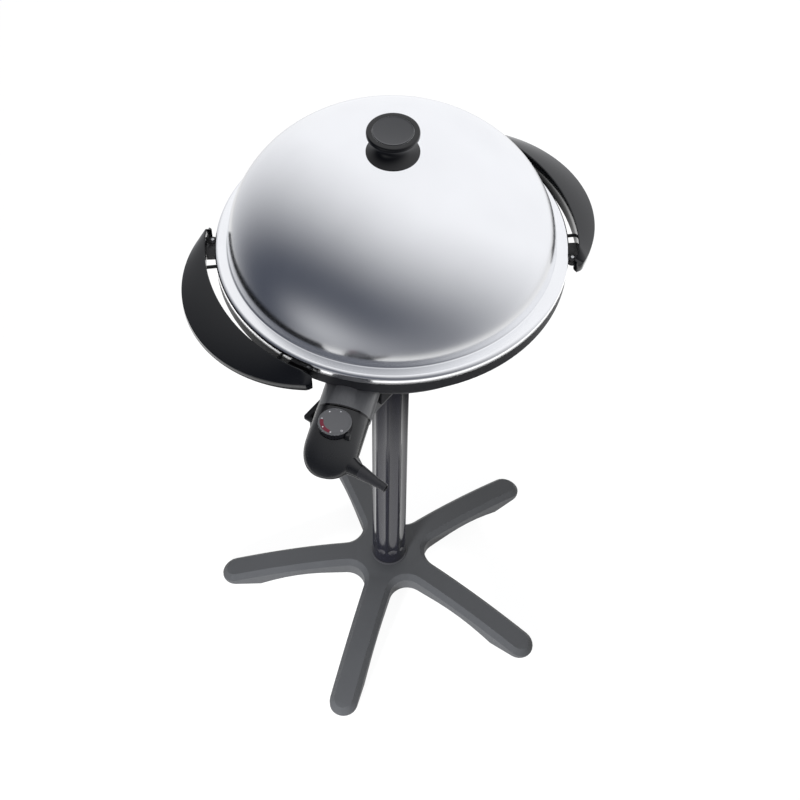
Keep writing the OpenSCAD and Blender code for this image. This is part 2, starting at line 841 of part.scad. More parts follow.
// Spacers between the bowl and both ends of each handle, rounded where they show
module handle_brackets() {
    width = bracket_a[1] - bracket_a[0];
    mid_r = rim_r + handle_gap / 2;
    color("#17181b")
    difference() {
        union() {
            for (half = [0, 180])
                for (a = [bracket_a[0], -bracket_a[1]])
                    rotate([0, 0, handle_az + half + a])
                        translate([0, 0, bracket_z + bracket_step])
                            rotate_extrude(angle = width)
                                translate([rim_r + touch, 0])
                                    square([handle_gap - 0.2, bracket_h - 2 * bracket_step]);
            handle_places(bracket_a[1])
                translate([mid_r, 0, bracket_z])
                    cylinder(r = bracket_end_r, h = bracket_h);
            handle_places(strut_a)
                translate([rim_r - 0.5, 0, bracket_mid])
                    rotate([0, 90, 0])
                        cylinder(r = 2.2, h = handle_gap + 0.4);
        }
        cylinder(r = rim_r + touch, h = flange_z + dome_h);
        handle_places(screw_a)
            translate([rim_r - 2, 0, bracket_mid])
                rotate([0, 90, 0])
                    cylinder(r = 2.5 + slip, h = handle_gap + 4);
        handle_places(bracket_a[1])
            translate([mid_r, 0, bracket_z + 2])
                cylinder(r = 1.5 + slip, h = bracket_h);
    }
}

// Screws from inside the bowl into the handles, and small ones on the spacers' ends
module handle_screws() {
    seat = rim_r - bowl_wall;
    color("#9b9ea1") {
        handle_places(screw_a)
            translate([seat - 3.2, 0, bracket_mid])
                rotate([0, 90, 0]) {
                    cylinder(r = 3, h = 3);
                    cylinder(r = 2.5, h = bowl_wall + handle_gap + 10.5);
                }
        handle_places(bracket_a[1])
            translate([rim_r + handle_gap / 2, 0, bracket_z + 3]) {
                cylinder(r = 1.5, h = bracket_h - 2);
                translate([0, 0, bracket_h - 3])
                    cylinder(r1 = 2.8, r2 = 2, h = 1.3);
            }
    }
}

// ---- grill plate ----
module grill_plate() {
    color("#1b1c1e")
    difference() {
        union() {
            rotate_extrude()
                polygon([[0, plate_low], [plate_body_r - 4, plate_low], [plate_body_r, plate_low + 4],
                    [plate_body_r, plate_seat_z], [plate_r, plate_seat_z], [plate_r, plate_rim_z - 1.5],
                    [plate_r - 1.5, plate_rim_z], [plate_r - plate_rim_w, plate_rim_z],
                    [plate_r - plate_rim_w - 2, plate_rim_z - 2.5], [plate_in_r + 4.5, plate_z + 8],
                    [plate_in_r + 3, plate_z + 2], [plate_in_r, plate_z], [0, plate_z]]);
            ribs = floor((rib_field_r - 12) / rib_pitch);
            for (i = [-ribs : ribs])
                let (half = sqrt(pow(rib_field_r, 2) - pow(i * rib_pitch, 2)))
                    translate([-half, i * rib_pitch, plate_z - 0.5])
                        rotate([90, 0, 90])
                            linear_extrude(2 * half)
                                polygon([[-rib_w / 2 - 0.6, 0], [rib_w / 2 + 0.6, 0],
                                    [rib_w / 2 - 0.8, rib_h + 0.5], [-rib_w / 2 + 0.8, rib_h + 0.5]]);
            at_polar(drain_az, drain_at, plate_low - 5)
                cylinder(r = drain_r + spout_wall, h = 6);
        }
        at_polar(drain_az, drain_at, plate_low - 10)
            cylinder(r = drain_r, h = 40);
    }
}

// ---- lid ----
module lid_dome() {
    hole = knob_screw_r + 0.3;
    outer = arc([0, flange_z], dome_r, dome_h, acos(hole / dome_r), 0, dome_steps);
    inner_r = dome_r - sheet_t;
    inner = arc([0, flange_z - sheet_t], inner_r, dome_h, 0, acos(hole / inner_r), dome_steps);
    turn = [lid_r - lip_round, flange_z - lip_round];
    edge = arc(turn, lip_round, lip_round, 90, 0, 6);
    edge_in = arc(turn, lip_round - sheet_t, lip_round - sheet_t, 0, 90, 6);
    color("#c9ccd0")
    rotate_extrude()
        polygon(concat(outer, edge, [[lid_r, lip_z], [lid_r - sheet_t, lip_z]], edge_in, inner));
}

// Height of the dome's outer face at radius r
function dome_at(r) = flange_z + dome_h * sqrt(1 - pow(r / dome_r, 2));
knob_z = dome_at(knob_foot_r);
knob_top = knob_z + knob_h;
function knob_side(t) = let (wide = t < 0.5 ? knob_foot_r : knob_r)
    [knob_waist_r + (wide - knob_waist_r) * pow(abs(2 * t - 1), 2.4), knob_z + 2 + (knob_h - 7) * t];

module lid_knob() {
    color("#0c0d10")
    difference() {
        rotate_extrude()
            polygon(concat([[0, knob_z + 2], [knob_foot_r - 8, dome_at(knob_foot_r - 8) + 0.1],
                    [knob_foot_r - 3, dome_at(knob_foot_r - 3) + touch],
                    [knob_foot_r, dome_at(knob_foot_r) + touch]],
                [for (i = [0 : 16]) knob_side(i / 16)],
                arc([knob_r - 2, knob_top - 2.5], 2, 2.5, 0, 90, 5),
                [[knob_disc_r, knob_top], [knob_disc_r, knob_top - 2], [0, knob_top - 2]]));
        difference() {
            translate([0, 0, knob_z - 5])
                cylinder(r1 = knob_foot_r - 3, r2 = knob_waist_r - 7, h = 19);
            cylinder(r = 7, h = knob_top);
        }
        cylinder(r = 7.1, h = dome_at(0) + touch);
        cylinder(r = knob_screw_r + slip, h = dome_at(0) + 14);
    }
}

// Matt disc let into the knob's top, hollowed in the middle
module knob_disc() {
    r = knob_disc_r - slip;
    color("#232427")
    rotate_extrude()
        polygon(concat([[0, knob_top - 2], [r, knob_top - 2], [r, knob_top + 0.4], [r - 1, knob_top + 0.4]],
            [for (i = [1 : 6]) let (x = r - 1 - (r - 1) * i / 6) [x, knob_top - 1 + pow(x / (r - 1), 2)]]));
}

// Screw with a washer, from inside the lid into the knob
module knob_screw() {
    low = dome_in_z - 1.6;
    color("#9b9ea1") {
        translate([0, 0, low])
            cylinder(r = 8, h = 1.4);
        translate([0, 0, low - 3])
            cylinder(r = 4.5, h = 3.2);
        translate([0, 0, low])
            cylinder(r = knob_screw_r, h = 14);
    }
}

// ---- controller ----
// Half width, rise and drop of the controller at fraction t of its length
function house_side(t) = ctrl_w * sqrt(1 - pow(max(0, t - 0.5) / 0.5, 2.4));
function house_rise(t) = (shroud_rise - 1.5) * sqrt(1 - pow(t, 1.6));
function house_drop(t) = (shroud_drop + 0.5) * sqrt(1 - pow(t, 3));
function bent(v, m) = sign(v) * pow(abs(v), 2 / m);
function house_ring(t, d, n) = [for (i = [0 : n - 1]) let (
    a = 360 - 360 * i / n,
    y = (house_side(t) - d) * bent(cos(a), 2.3),
    z = a < 180 ? (house_rise(t) - d) * bent(sin(a), 2.3) : (house_drop(t) - d) * bent(sin(a), 3))
    [house_u + d + (ctrl_reach - house_u - 2 * d) * t + z * tan(mouth_lean) * (1 - t), y, shroud_z + z]];
function house_t(i, m, last) = last * (1 - pow(1 - i / m, 1.9));

module house_solid(d, n, m, last) {
    rotate([0, 0, ctrl_az])
        polyhedron([for (i = [0 : m]) each house_ring(house_t(i, m, last), d, n)],
            loft_faces(m + 1, n), convexity = 4);
}

// Trumpet that leads from the controller to the strain relief
module relief_frame() {
    rotate([0, 0, ctrl_az])
        translate([relief_u, relief_y, shroud_z])
            rotate([0, 0, relief_turn])
                rotate([0, 90 + relief_dip, 0])
                    children();
}

module house_shape() {
    house_solid(0, house_n, house_m, 0.995);
    relief_frame()
        rotate_extrude()
            polygon(concat([[0, -relief_root]],
                [for (i = [0 : 8]) [relief_r + relief_flare * pow(1 - i / 8, 2),
                    -relief_root + relief_root * i / 8]],
                [[0, 0]]));
}

module house_hollow() {
    house_solid(shell_t, 16, 8, 0.97);
    relief_frame()
        translate([0, 0, -relief_root])
            cylinder(r = 4, h = relief_root + 5);
}

// Everything the housing halves leave free
module house_cuts() {
    rotate([0, 0, ctrl_az]) {
        translate([nose_u, -nose_w - slip, socket_z - nose_h - slip])
            cube([nose_l, 2 * (nose_w + slip), 2 * (nose_h + slip)]);
        translate([dial_u, 0, dial_z - 0.1])
            cylinder(r = dial_r + dial_gap, h = 30);
        translate([dial_u, 0, dial_z - 10])
            cylinder(r = shaft_r + 0.4, h = 15);
    }
}

module screw_posts(r, z0, z1) {
    rotate([0, 0, ctrl_az])
        for (p = screw_places)
            translate([p[0], p[1], z0])
                cylinder(r = r, h = z1 - z0);
}

// Upper half with the seat for the dial and the index lug beside it
module controller_upper() {
    color("#26282b")
    difference() {
        union() {
            intersection() {
                house_shape();
                translate([0, 0, split_z])
                    cylinder(r = ctrl_reach + 90, h = house_span);
            }
            rotate([0, 0, ctrl_az])
                translate([dial_u, 0, dial_z - 4])
                    rotate([0, 0, index_turn])
                        translate([dial_r + dial_gap + 1.6, 0, 0])
                            cylinder(r = index_r, h = 10);
        }
        difference() {
            house_hollow();
            screw_posts(post_r, split_z - 50, split_z + 60);
            rotate([0, 0, ctrl_az])
                translate([dial_u, 0, dial_z - 2.5])
                    cylinder(r = dial_r + dial_gap + 2, h = 30);
        }
        house_cuts();
        screw_posts(1.5 + slip, split_z - 1, split_z + 11);
    }
}

// Lower half, a cover held by screws from below
module controller_lower() {
    color("#26282b")
    difference() {
        intersection() {
            house_shape();
            translate([0, 0, split_z - house_span])
                cylinder(r = ctrl_reach + 90, h = house_span);
        }
        difference() {
            house_hollow();
            screw_posts(post_r, split_z - 50, split_z + 60);
        }
        house_cuts();
        screw_posts(1.5 + slip, split_z - 40, split_z + 5);
        screw_posts(3.4, split_z - 40, split_z - 6);
    }
}

module controller_screws() {
    color("#9b9ea1") {
        screw_posts(3, split_z - 8, split_z - 6);
        screw_posts(1.5, split_z - 7, split_z + 10);
    }
}

// Insulating plug that carries the contact sleeves and the probe
module plug_nose() {
    color("#c9bfa8")
    rotate([0, 0, ctrl_az])
        difference() {
            translate([nose_u, -nose_w, socket_z - nose_h])
                cube([nose_l, 2 * nose_w, 2 * nose_h]);
            for (y = [-pin_spread, pin_spread])
                translate([nose_u - 1, y, socket_z])
                    rotate([0, 90, 0])
                        cylinder(r = pin_r + 1.2 + slip, h = 32);
            translate([nose_u - 1, 0, socket_z])
                rotate([0, 90, 0])
                    cylinder(r = probe_r + slip, h = nose_l + 2);
        }
}

module contact_sleeves() {
    color("#b98a45")
    rotate([0, 0, ctrl_az])
        for (y = [-pin_spread, pin_spread])
            translate([nose_u + 1, y, socket_z])
                rotate([0, 90, 0])
                    difference() {
                        cylinder(r = pin_r + 1.2, h = 30);
                        translate([0, 0, -1])
                            cylinder(r = pin_r + 0.05, h = 28);
                    }
}

// Sensor rod beside the contacts
module probe_rod() {
    start = block_u - probe_len;
    color("#d2d4d6")
    rotate([0, 0, ctrl_az])
        translate([start, 0, socket_z])
            rotate([0, 90, 0]) {
                translate([0, 0, 2])
                    cylinder(r = probe_r, h = nose_u + nose_l - start - 2);
                cylinder(r1 = probe_r - 1.5, r2 = probe_r, h = 2);
            }
}

// Switch block below the dial
module thermostat_switch() {
    color("#cbbf9f")
    rotate([0, 0, ctrl_az])
        difference() {
            translate([nose_u + nose_l, -13, socket_z - nose_h])
                cube([28, 26, nose_h + 11]);
            translate([dial_u, 0, socket_z])
                cylinder(r = shaft_r + slip, h = 30);
        }
}

module strain_relief() {
    color("#141517")
    relief_frame()
        rotate_extrude()
            polygon(concat([[0, touch]],
                [for (i = [0 : 8]) [lead_d / 2 + 0.8 + (relief_r - lead_d / 2 - 0.8) * pow(1 - i / 8, 1.6),
                    touch + relief_len * i / 8]],
                [[lead_d / 2, relief_len + 0.5], [0, relief_len + 0.5]]));
}

// ---- dial ----
module control_dial() {
    color("#2b2d30")
    rotate([0, 0, ctrl_az])
        translate([dial_u, 0, dial_z + slip])
            difference() {
                rotate_extrude()
                    polygon([[0, 0], [dial_r - 0.4, 0], [dial_r, 0.6], [dial_r, dial_h - 2],
                        [dial_r - 0.4, dial_h - 0.7], [dial_r - 1.3, dial_h], [0, dial_h]]);
                translate([0, 0, -1])
                    cylinder(r = shaft_r + slip, h = 8);
                translate([0, 0, -1])
                    difference() {
                        cylinder(r = dial_r - 3, h = dial_h - 3);
                        translate([0, 0, -1])
                            cylinder(r = shaft_r + 2.5, h = dial_h);
                    }
            }
}

module dial_shaft() {
    color("#9b9ea1")
    rotate([0, 0, ctrl_az])
        translate([dial_u, 0, socket_z + 1])
            cylinder(r = shaft_r, h = dial_z - socket_z + 5);
}

star_base();
foot_pads();
column_tube();
base_ring();
column_foot();
stand_bolt();
column_cap();
bowl();
neck_socket();
neck_screws();
reflector_pan();
heating_element();
element_supports();
terminal_bracket();
terminal_block();
terminal_pins();
socket_shroud();
shroud_screws();
tray_rails();
handle_left();
handle_right();
handle_brackets();
handle_screws();
drip_tray();
grill_plate();
lid_dome();
lid_knob();
knob_disc();
knob_screw();
controller_lower();
controller_upper();
plug_nose();
contact_sleeves();
probe_rod();
thermostat_switch();
controller_screws();
strain_relief();
control_dial();
dial_shaft();
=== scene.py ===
"""Dresses an electric grill on a pedestal: lid and knob, bowl and handles, thermostat, tray, column and base."""

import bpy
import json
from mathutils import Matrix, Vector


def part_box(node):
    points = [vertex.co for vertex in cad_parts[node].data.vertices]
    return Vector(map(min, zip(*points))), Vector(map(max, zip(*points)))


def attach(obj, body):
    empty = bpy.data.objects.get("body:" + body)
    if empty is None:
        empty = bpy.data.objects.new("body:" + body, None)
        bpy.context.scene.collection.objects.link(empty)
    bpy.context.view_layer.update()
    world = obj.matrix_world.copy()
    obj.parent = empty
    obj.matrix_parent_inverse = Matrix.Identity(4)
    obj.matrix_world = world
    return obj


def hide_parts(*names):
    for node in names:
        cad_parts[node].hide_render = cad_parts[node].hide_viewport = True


bl_info = {
    "name": "Pedestal Grill Dressing",
    "version": (1, 0, 0),
    "blender": (4, 5, 0),
    "location": "View3D > Sidebar > Grill",
    "description": "Builds the visible pieces, finishes and studio for an electric pedestal grill",
    "category": "Object",
}

import json
import math

import bmesh
import bpy
from bpy.props import FloatProperty, FloatVectorProperty, IntProperty, PointerProperty
from mathutils import Matrix, Vector

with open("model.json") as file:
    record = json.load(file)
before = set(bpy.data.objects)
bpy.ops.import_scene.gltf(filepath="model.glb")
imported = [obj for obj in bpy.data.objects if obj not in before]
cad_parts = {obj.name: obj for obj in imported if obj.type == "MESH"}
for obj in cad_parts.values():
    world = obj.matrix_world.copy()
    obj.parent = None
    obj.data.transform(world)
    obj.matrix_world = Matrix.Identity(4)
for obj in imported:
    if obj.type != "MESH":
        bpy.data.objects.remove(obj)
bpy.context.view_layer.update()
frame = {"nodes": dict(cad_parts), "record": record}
MM = 0.001
LID_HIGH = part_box("lid_dome")[1]
DIAL_LOW, DIAL_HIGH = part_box("control_dial")
TUBE_LOW, TUBE_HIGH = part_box("column_tube")

# The strain relief's root in the thermostat's frame: outwards, aside, and its turn in degrees.
RELIEF_OUT, RELIEF_ASIDE, RELIEF_TURN = 309.2 * MM, 40.3 * MM, 66.6
# Level of the dial's seat, and the index lug's turn round the dial.
SEAT_LEVEL, LUG_TURN = 773.5 * MM, 58
# The bore for the plug's nose in the housing, as two corners in the thermostat's frame.
NOSE_BORE = (189 * MM, -20.1 * MM, 742.9 * MM), (255 * MM, 20.1 * MM, 767.1 * MM)
# How full the housing's outlines stay: towards the nose from above, over its back, under its belly, and round
# a section above and below its widest line.
PLAN_POWER, BACK_POWER, BELLY_POWER = 2.4, 1.6, 3
UPPER_POWER, LOWER_POWER = 2.3, 3
# How much its rings crowd together towards the nose.
CROWDING_POWER = 1.9
# Directions in degrees, with the dial at off: its dots, the ring that stands for off, and the heat arc's ends.
DOT_TURNS = (-107, -151, -197, -246, -295)
RING_TURN = -58
ARC_TURNS = (-112.0, -192.0)
# Direction of the first flute in degrees, the points across a flute, and on it with the land beside it.
FIRST_FLUTE, FLUTE_POINTS, FLUTE_PITCH_POINTS = 282.2, 16, 24

# Width of the camera's sensor in millimetres.
SENSOR_WIDTH = 36.0
# The floor: its reach, its colour, its glow to the camera, and the glow's share of what the camera sees.
FLOOR_RADIUS = 3.2
FLOOR_COLOUR = (0.82, 0.82, 0.82, 1)
FLOOR_GLOW = 1.06
FLOOR_GLOW_SHARE = 0.88
# Painted reflections: rings on the floor that glow pale or dark for polished parts only, given as distance from
# the column axis, brightness, and how solid it is.
PAINTED_REFLECTION_RINGS = ((0.0, 0.8, 1.0), (0.30, 0.8, 1.0), (0.41, 0.05, 1.0), (0.60, 0.05, 1.0), (0.72, 0.4, 1.0),
                   (0.79, 1.8, 1.0), (0.87, 1.8, 1.0), (0.96, 0.8, 1.0), (1.3, 0.9, 1.0), (1.7, 0.5, 0.0))
# The brightness that the rings' full white stands for.
RING_RANGE = 2.0
# The room's light: its level, its soft patches (direction, sharpness, amount), and the curve put on them.
ROOM_LIGHT = 1.3
ROOM_PATCHES = (((-0.881, -0.461, -0.103), 1.74, -1.30), ((-0.047, -0.934, -0.355), 1.18, -1.30),
                ((-0.757, -0.635, -0.155), 6.0, 1.00), ((-0.197, -0.897, -0.396), 3.95, 0.82))
ROOM_DARKEST = 0.02
ROOM_CONTRAST = 1.6
ROOM_GAIN = 0.97
ROOM_LEAST = 0.06
ROOM_BRIGHTEST = 0.99
ROOM_TINT = (0.0, 0.008, 0.032)
# The finishes' slow drift of colour and roughness: its scale, and the part of the noise that is used.
DRIFT_SCALE, DRIFT_LOW, DRIFT_HIGH = 14.0, 0.3, 0.7
# Depth of the fine grain, and the least roughness of any finish.
GRAIN_DEPTH, LEAST_ROUGHNESS = 0.4 * MM, 0.02


# ---------------------------------------------------------------- sizes


def length_prop(name, description, mm):
    """A length, given in millimetres and kept in metres."""
    return FloatProperty(name=name, description=description, default=mm * MM, unit="LENGTH")


def angle_prop(name, description, degrees):
    return FloatProperty(name=name, description=description, default=math.radians(degrees), subtype="ANGLE")


def colour_prop(name, description, rgb):
    return FloatVectorProperty(name=name, description=description, subtype="COLOR", size=3, default=rgb,
                               min=0, max=1)


class LidSizes(bpy.types.PropertyGroup):
    radius: FloatProperty(name="Flange radius", description="Outer radius of the lid's flange",
                          default=LID_HIGH.x, unit="LENGTH")
    flange_width: length_prop("Flange width", "Width of the flat flange round the dome", 16)
    dome_height: length_prop("Dome height", "Height of the dome above the flange", 148)
    sheet: length_prop("Sheet", "Thickness of the sheet metal", 1.2)
    lip_height: length_prop("Lip height", "Height of the rolled lip", 12)
    lip_round: length_prop("Lip round", "Radius of the roll into the lip", 5)
    foot_round: length_prop("Foot round", "Radius of the hollow at the dome's foot", 2.2)
    flange_height: length_prop("Flange level", "Level of the flange above the floor", 807)


class KnobSizes(bpy.types.PropertyGroup):
    top_radius: length_prop("Top radius", "Radius of the knob's top rim", 31.5)
    foot_radius: length_prop("Foot radius", "Radius of the knob's foot", 32)
    waist_radius: length_prop("Waist radius", "Radius of the knob's waist", 20.5)
    height: length_prop("Height", "Height of the knob", 34)
    disc_radius: length_prop("Disc radius", "Radius of the inlaid disc", 24.4)


class HandleSizes(bpy.types.PropertyGroup):
    direction: angle_prop("Direction", "Direction of the first handle's middle", 30)
    inner: length_prop("Inner edge", "Radius of the inner edge", 232)
    reach: length_prop("Reach", "Distance of the outermost edge from the column axis", 273)
    arc_radius: length_prop("Outer arc", "Radius of the outer edge", 162)
    level: length_prop("Level", "Level of the inner edge's crest", 807)
    height: length_prop("Height", "Height at the inner edge", 28.4)
    edge_height: length_prop("Wall", "Height of the outer wall in the middle", 8.7)
    tip_rise: length_prop("Tip rise", "Extra height of the outer wall at the tips", 4)
    nose_in: length_prop("Nose turn-in", "Turn of the rounded tips towards the bowl", 4.5)
    nose_drop: length_prop("Nose drop", "Drop of the crest at the tips", 10)
    screw_turn: angle_prop("Screw place", "Angle of the screws from a handle's middle", 29.5)


class ControllerSizes(bpy.types.PropertyGroup):
    # The hood's band is painted shade: a near-black finish that stands for the shadowed gap at its seam with the
    # housing.
    hood_shade_band: length_prop("Hood band", "Width of the band round the hood's mouth with its seam", 3.2)
    direction: angle_prop("Direction", "Direction of the thermostat round the bowl", 256.4)
    start: length_prop("Start", "Distance of the mouth from the column axis", 238.2)
    reach: length_prop("Reach", "Reach of the nose from the column axis", 327.5)
    half_width: length_prop("Half width", "Half width of the housing", 32.5)
    rise: length_prop("Rise", "Height of the housing above its widest line", 34.5)
    drop: length_prop("Drop", "Depth of the housing below its widest line", 16.5)
    level: length_prop("Level", "Level of the widest line", 747)
    split: length_prop("Seam level", "Level of the seam between both halves", 741)
    lean: angle_prop("Lean", "Lean of the mouth", 18)
    wall: length_prop("Wall", "Wall of the moulding", 2.5)


class DialSizes(bpy.types.PropertyGroup):
    distance: length_prop("Distance", "Distance of the dial from the column axis", 271.6)
    radius: length_prop("Radius", "Radius of the dial", 19.7)
    mark_radius: length_prop("Mark circle", "Radius of the circle of marks", 15.6)
    mark_size: length_prop("Mark size", "Radius of one mark", 0.85)


class ReliefSizes(bpy.types.PropertyGroup):
    length: length_prop("Length", "Length of the strain relief", 37)
    root_radius: length_prop("Root radius", "Radius at the housing", 8.6)
    lead: length_prop("Lead", "Diameter of the lead it takes", 6.6)


class ColumnSizes(bpy.types.PropertyGroup):
    radius: length_prop("Radius", "Outer radius of the column", 26.7)
    flutes: IntProperty(name="Flutes", description="Number of flutes", default=9, min=3)
    flute_half_width: length_prop("Flute half width", "Half width of a flute", 7.6)
    flute_depth: length_prop("Flute depth", "Depth of a flute", 2.5)
    flute_start: length_prop("Flute start", "Plain band below the flutes", 26)


class BaseSizes(bpy.types.PropertyGroup):
    softness: length_prop("Edge softness", "Radius of the cast edges", 2.2)


class FinishColours(bpy.types.PropertyGroup):
    lid: colour_prop("Lid", "Metal of the lid", (0.90, 0.905, 0.92))
    coat: colour_prop("Coat", "Dark coat of the bowl", (0.018, 0.0185, 0.021))
    base: colour_prop("Base", "Dark coat of the star base", (0.025, 0.026, 0.028))
    column: colour_prop("Column", "Gloss enamel of the column", (0.004, 0.004, 0.006))
    handles: colour_prop("Handles", "Polished moulding of the handles", (0.005, 0.0055, 0.007))
    housing: colour_prop("Housing", "Satin moulding of the thermostat", (0.009, 0.0094, 0.0108))
    shroud: colour_prop("Shroud", "Satin moulding of the socket's shroud", (0.095, 0.097, 0.102))
    dial: colour_prop("Dial", "Face of the dial", (0.115, 0.116, 0.122))
    heat_mark: colour_prop("Heat mark", "Red arc on the dial", (0.17, 0.006, 0.026))


class StudioSettings(bpy.types.PropertyGroup):
    lens: FloatProperty(name="Lens", description="Focal length", default=67.5, unit="CAMERA")
    pitch: angle_prop("Pitch", "Angle by which the camera looks down", 53.1)
    yaw: angle_prop("Yaw", "Turn of the camera", -0.60)
    roll: angle_prop("Roll", "Roll of the camera", 1.03)
    place: FloatVectorProperty(name="Place", description="Place of the camera", subtype="TRANSLATION", size=3,
                               default=(0, -1.2795, 2.1773))
    fill: FloatProperty(name="Fill", description="Watts that the overhead and side lamps take their shares of",
                        default=24.0)
    front: FloatProperty(name="Front", description="Power of the low front spot in watts", default=1700.0)


def sizes(name):
    return getattr(bpy.context.scene, "grill_" + name)


# ---------------------------------------------------------------- meshes


def new_object(name, bm):
    """Makes an object at the origin from bm, which is freed."""
    mesh = bpy.data.meshes.new(name)
    bm.to_mesh(mesh)
    bm.free()
    obj = bpy.data.objects.new(name, mesh)
    bpy.context.scene.collection.objects.link(obj)
    return obj


def finish_piece(name, bm, body, nodes, slot, materials=None, crease=32.0, edge=0.0, edge_segments=2):
    """Makes the object from bm, smooths it, ties it to its CAD body and hides the nodes it stands in for; slot
    gives its only finish where no materials are named."""
    obj = new_object(name, bm)
    obj.data.shade_smooth()
    obj.data.set_sharp_from_angle(angle=math.radians(crease))
    if edge:
        bevel = obj.modifiers.new("soft_edges", "BEVEL")
        bevel.width = edge
        bevel.segments = edge_segments
        bevel.limit_method = "ANGLE"
        bevel.angle_limit = math.radians(crease)
        bevel.harden_normals = True
        bevel.miter_outer = "MITER_ARC"
    for material in materials or [finish(slot)]:
        obj.data.materials.append(material)
    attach(obj, body)
    if nodes:
        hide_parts(*nodes)
    return obj


def spun(profile, steps):
    """A bmesh of the closed outline profile, (radius, height) pairs, spun round the Z axis."""
    bm = bmesh.new()
    verts = [bm.verts.new((r, 0, z)) for r, z in profile]
    for pair in zip(verts, verts[1:] + verts[:1]):
        bm.edges.new(pair)
    bmesh.ops.spin(bm, geom=bm.verts[:] + bm.edges[:], cent=(0, 0, 0), axis=(0, 0, 1),
                   angle=math.tau, steps=steps, use_merge=True)
    bmesh.ops.remove_doubles(bm, verts=bm.verts, dist=1e-6)
    bmesh.ops.recalc_face_normals(bm, faces=bm.faces)
    return bm


def arc(centre, radius, start, end, steps, radius_y=None):
    """Points of an arc in the profile plane, from start to end in degrees, both included."""
    angles = (math.radians(start + (end - start) * i / steps) for i in range(steps + 1))
    return [(centre[0] + radius * math.cos(a), centre[1] + (radius_y or radius) * math.sin(a)) for a in angles]


def node_copy(node):
    """A merged bmesh copy of a CAD node's mesh."""
    bm = bmesh.new()
    bm.from_mesh(frame["nodes"][node].data)
    bmesh.ops.remove_doubles(bm, verts=bm.verts, dist=2e-6)
    bmesh.ops.dissolve_degenerate(bm, edges=bm.edges, dist=1e-6)
    return bm


def moved(bm, matrix):
    bmesh.ops.transform(bm, matrix=matrix, verts=bm.verts)
    return bm


def drawn_out(bm, ring):
    """Extrudes the closed ring of verts and gives the new ring, in the same order."""
    edges = [bm.edges.get(pair) for pair in zip(ring, ring[1:] + ring[:1])]
    made = bmesh.ops.extrude_edge_only(bm, edges=edges)["geom"]

    def key(v):
        return tuple(round(c, 7) for c in v.co)

    lookup = {key(g): g for g in made if isinstance(g, bmesh.types.BMVert)}
    return [lookup[key(v)] for v in ring]


def lofted(sections, closed=True):
    """A bmesh drawn through rings of points, with faces on both ends where closed; gives the last ring too."""
    bm = bmesh.new()
    bmesh.ops.create_circle(bm, cap_ends=closed, segments=len(sections[0]), radius=1.0)
    ring = sorted(bm.verts, key=lambda v: math.atan2(v.co.y, v.co.x) % math.tau)
    for n, section in enumerate(sections):
        if n:
            ring = drawn_out(bm, ring)
        for v, co in zip(ring, section):
            v.co = co
    if closed:
        bm.faces.new(ring)
    return bm, ring


def raised(bm, height):
    """Extrudes a flat bmesh's faces upwards and turns them outwards."""
    made = bmesh.ops.extrude_face_region(bm, geom=bm.faces[:])["geom"]
    bmesh.ops.translate(bm, verts=[g for g in made if isinstance(g, bmesh.types.BMVert)], vec=(0, 0, height))
    bmesh.ops.recalc_face_normals(bm, faces=bm.faces)


def controller_frame(x=0.0, y=0.0, z=0.0):
    """Matrix from the thermostat's own frame, x outwards, to the row frame."""
    return Matrix.Rotation(sizes("controller").direction, 4, "Z") @ Matrix.Translation((x, y, z))


def cut_with(obj, tool_bm, operation="DIFFERENCE"):
    """Applies an exact boolean with a tool that is removed again."""
    tool = new_object("tool", tool_bm)
    mod = obj.modifiers.new("cut", "BOOLEAN")
    mod.operation = operation
    mod.solver = "EXACT"
    mod.object = tool
    bpy.context.view_layer.update()
    baked = bpy.data.meshes.new_from_object(obj.evaluated_get(bpy.context.evaluated_depsgraph_get()))
    obj.modifiers.remove(mod)
    obj.data = baked
    bpy.data.objects.remove(tool)


def taken(obj):
    """The mesh of a scratch object as a bmesh; the object goes."""
    bm = bmesh.new()
    bm.from_mesh(obj.data)
    bpy.data.objects.remove(obj)
    return bm


# ---------------------------------------------------------------- finishes

FINISHES = {}


class Nodes:
    """A new node tree. An input is given by its name or number, as a value or as the socket that feeds it."""

    def __init__(self, owner):
        owner.use_nodes = True
        self.tree = owner.node_tree
        self.tree.nodes.clear()

    def add(self, kind, inputs=None, **settings):
        node = self.tree.nodes.new("ShaderNode" + kind)
        for key, value in settings.items():
            setattr(node, key, value)
        for key, value in (inputs or {}).items():
            if isinstance(value, bpy.types.NodeSocket):
                self.tree.links.new(value, node.inputs[key])
            else:
                node.inputs[key].default_value = value
        return node

    def reckoned(self, operation, *values):
        """The output of a Math node."""
        return self.add("Math", dict(enumerate(values)), operation=operation).outputs[0]

    def mixed(self, share, first, second):
        """A Mix Shader node between two shader nodes."""
        return self.add("MixShader", {"Fac": share, 1: first.outputs[0], 2: second.outputs[0]})

    def ramp(self, source, stops):
        """A colour ramp through two or more stops of place and colour."""
        node = self.add("ValToRGB", {"Fac": source})
        elements = node.color_ramp.elements
        for n, (place, colour) in enumerate(stops):
            stop = elements[n] if n < 2 else elements.new(place)
            stop.position = place
            stop.color = colour
        return node


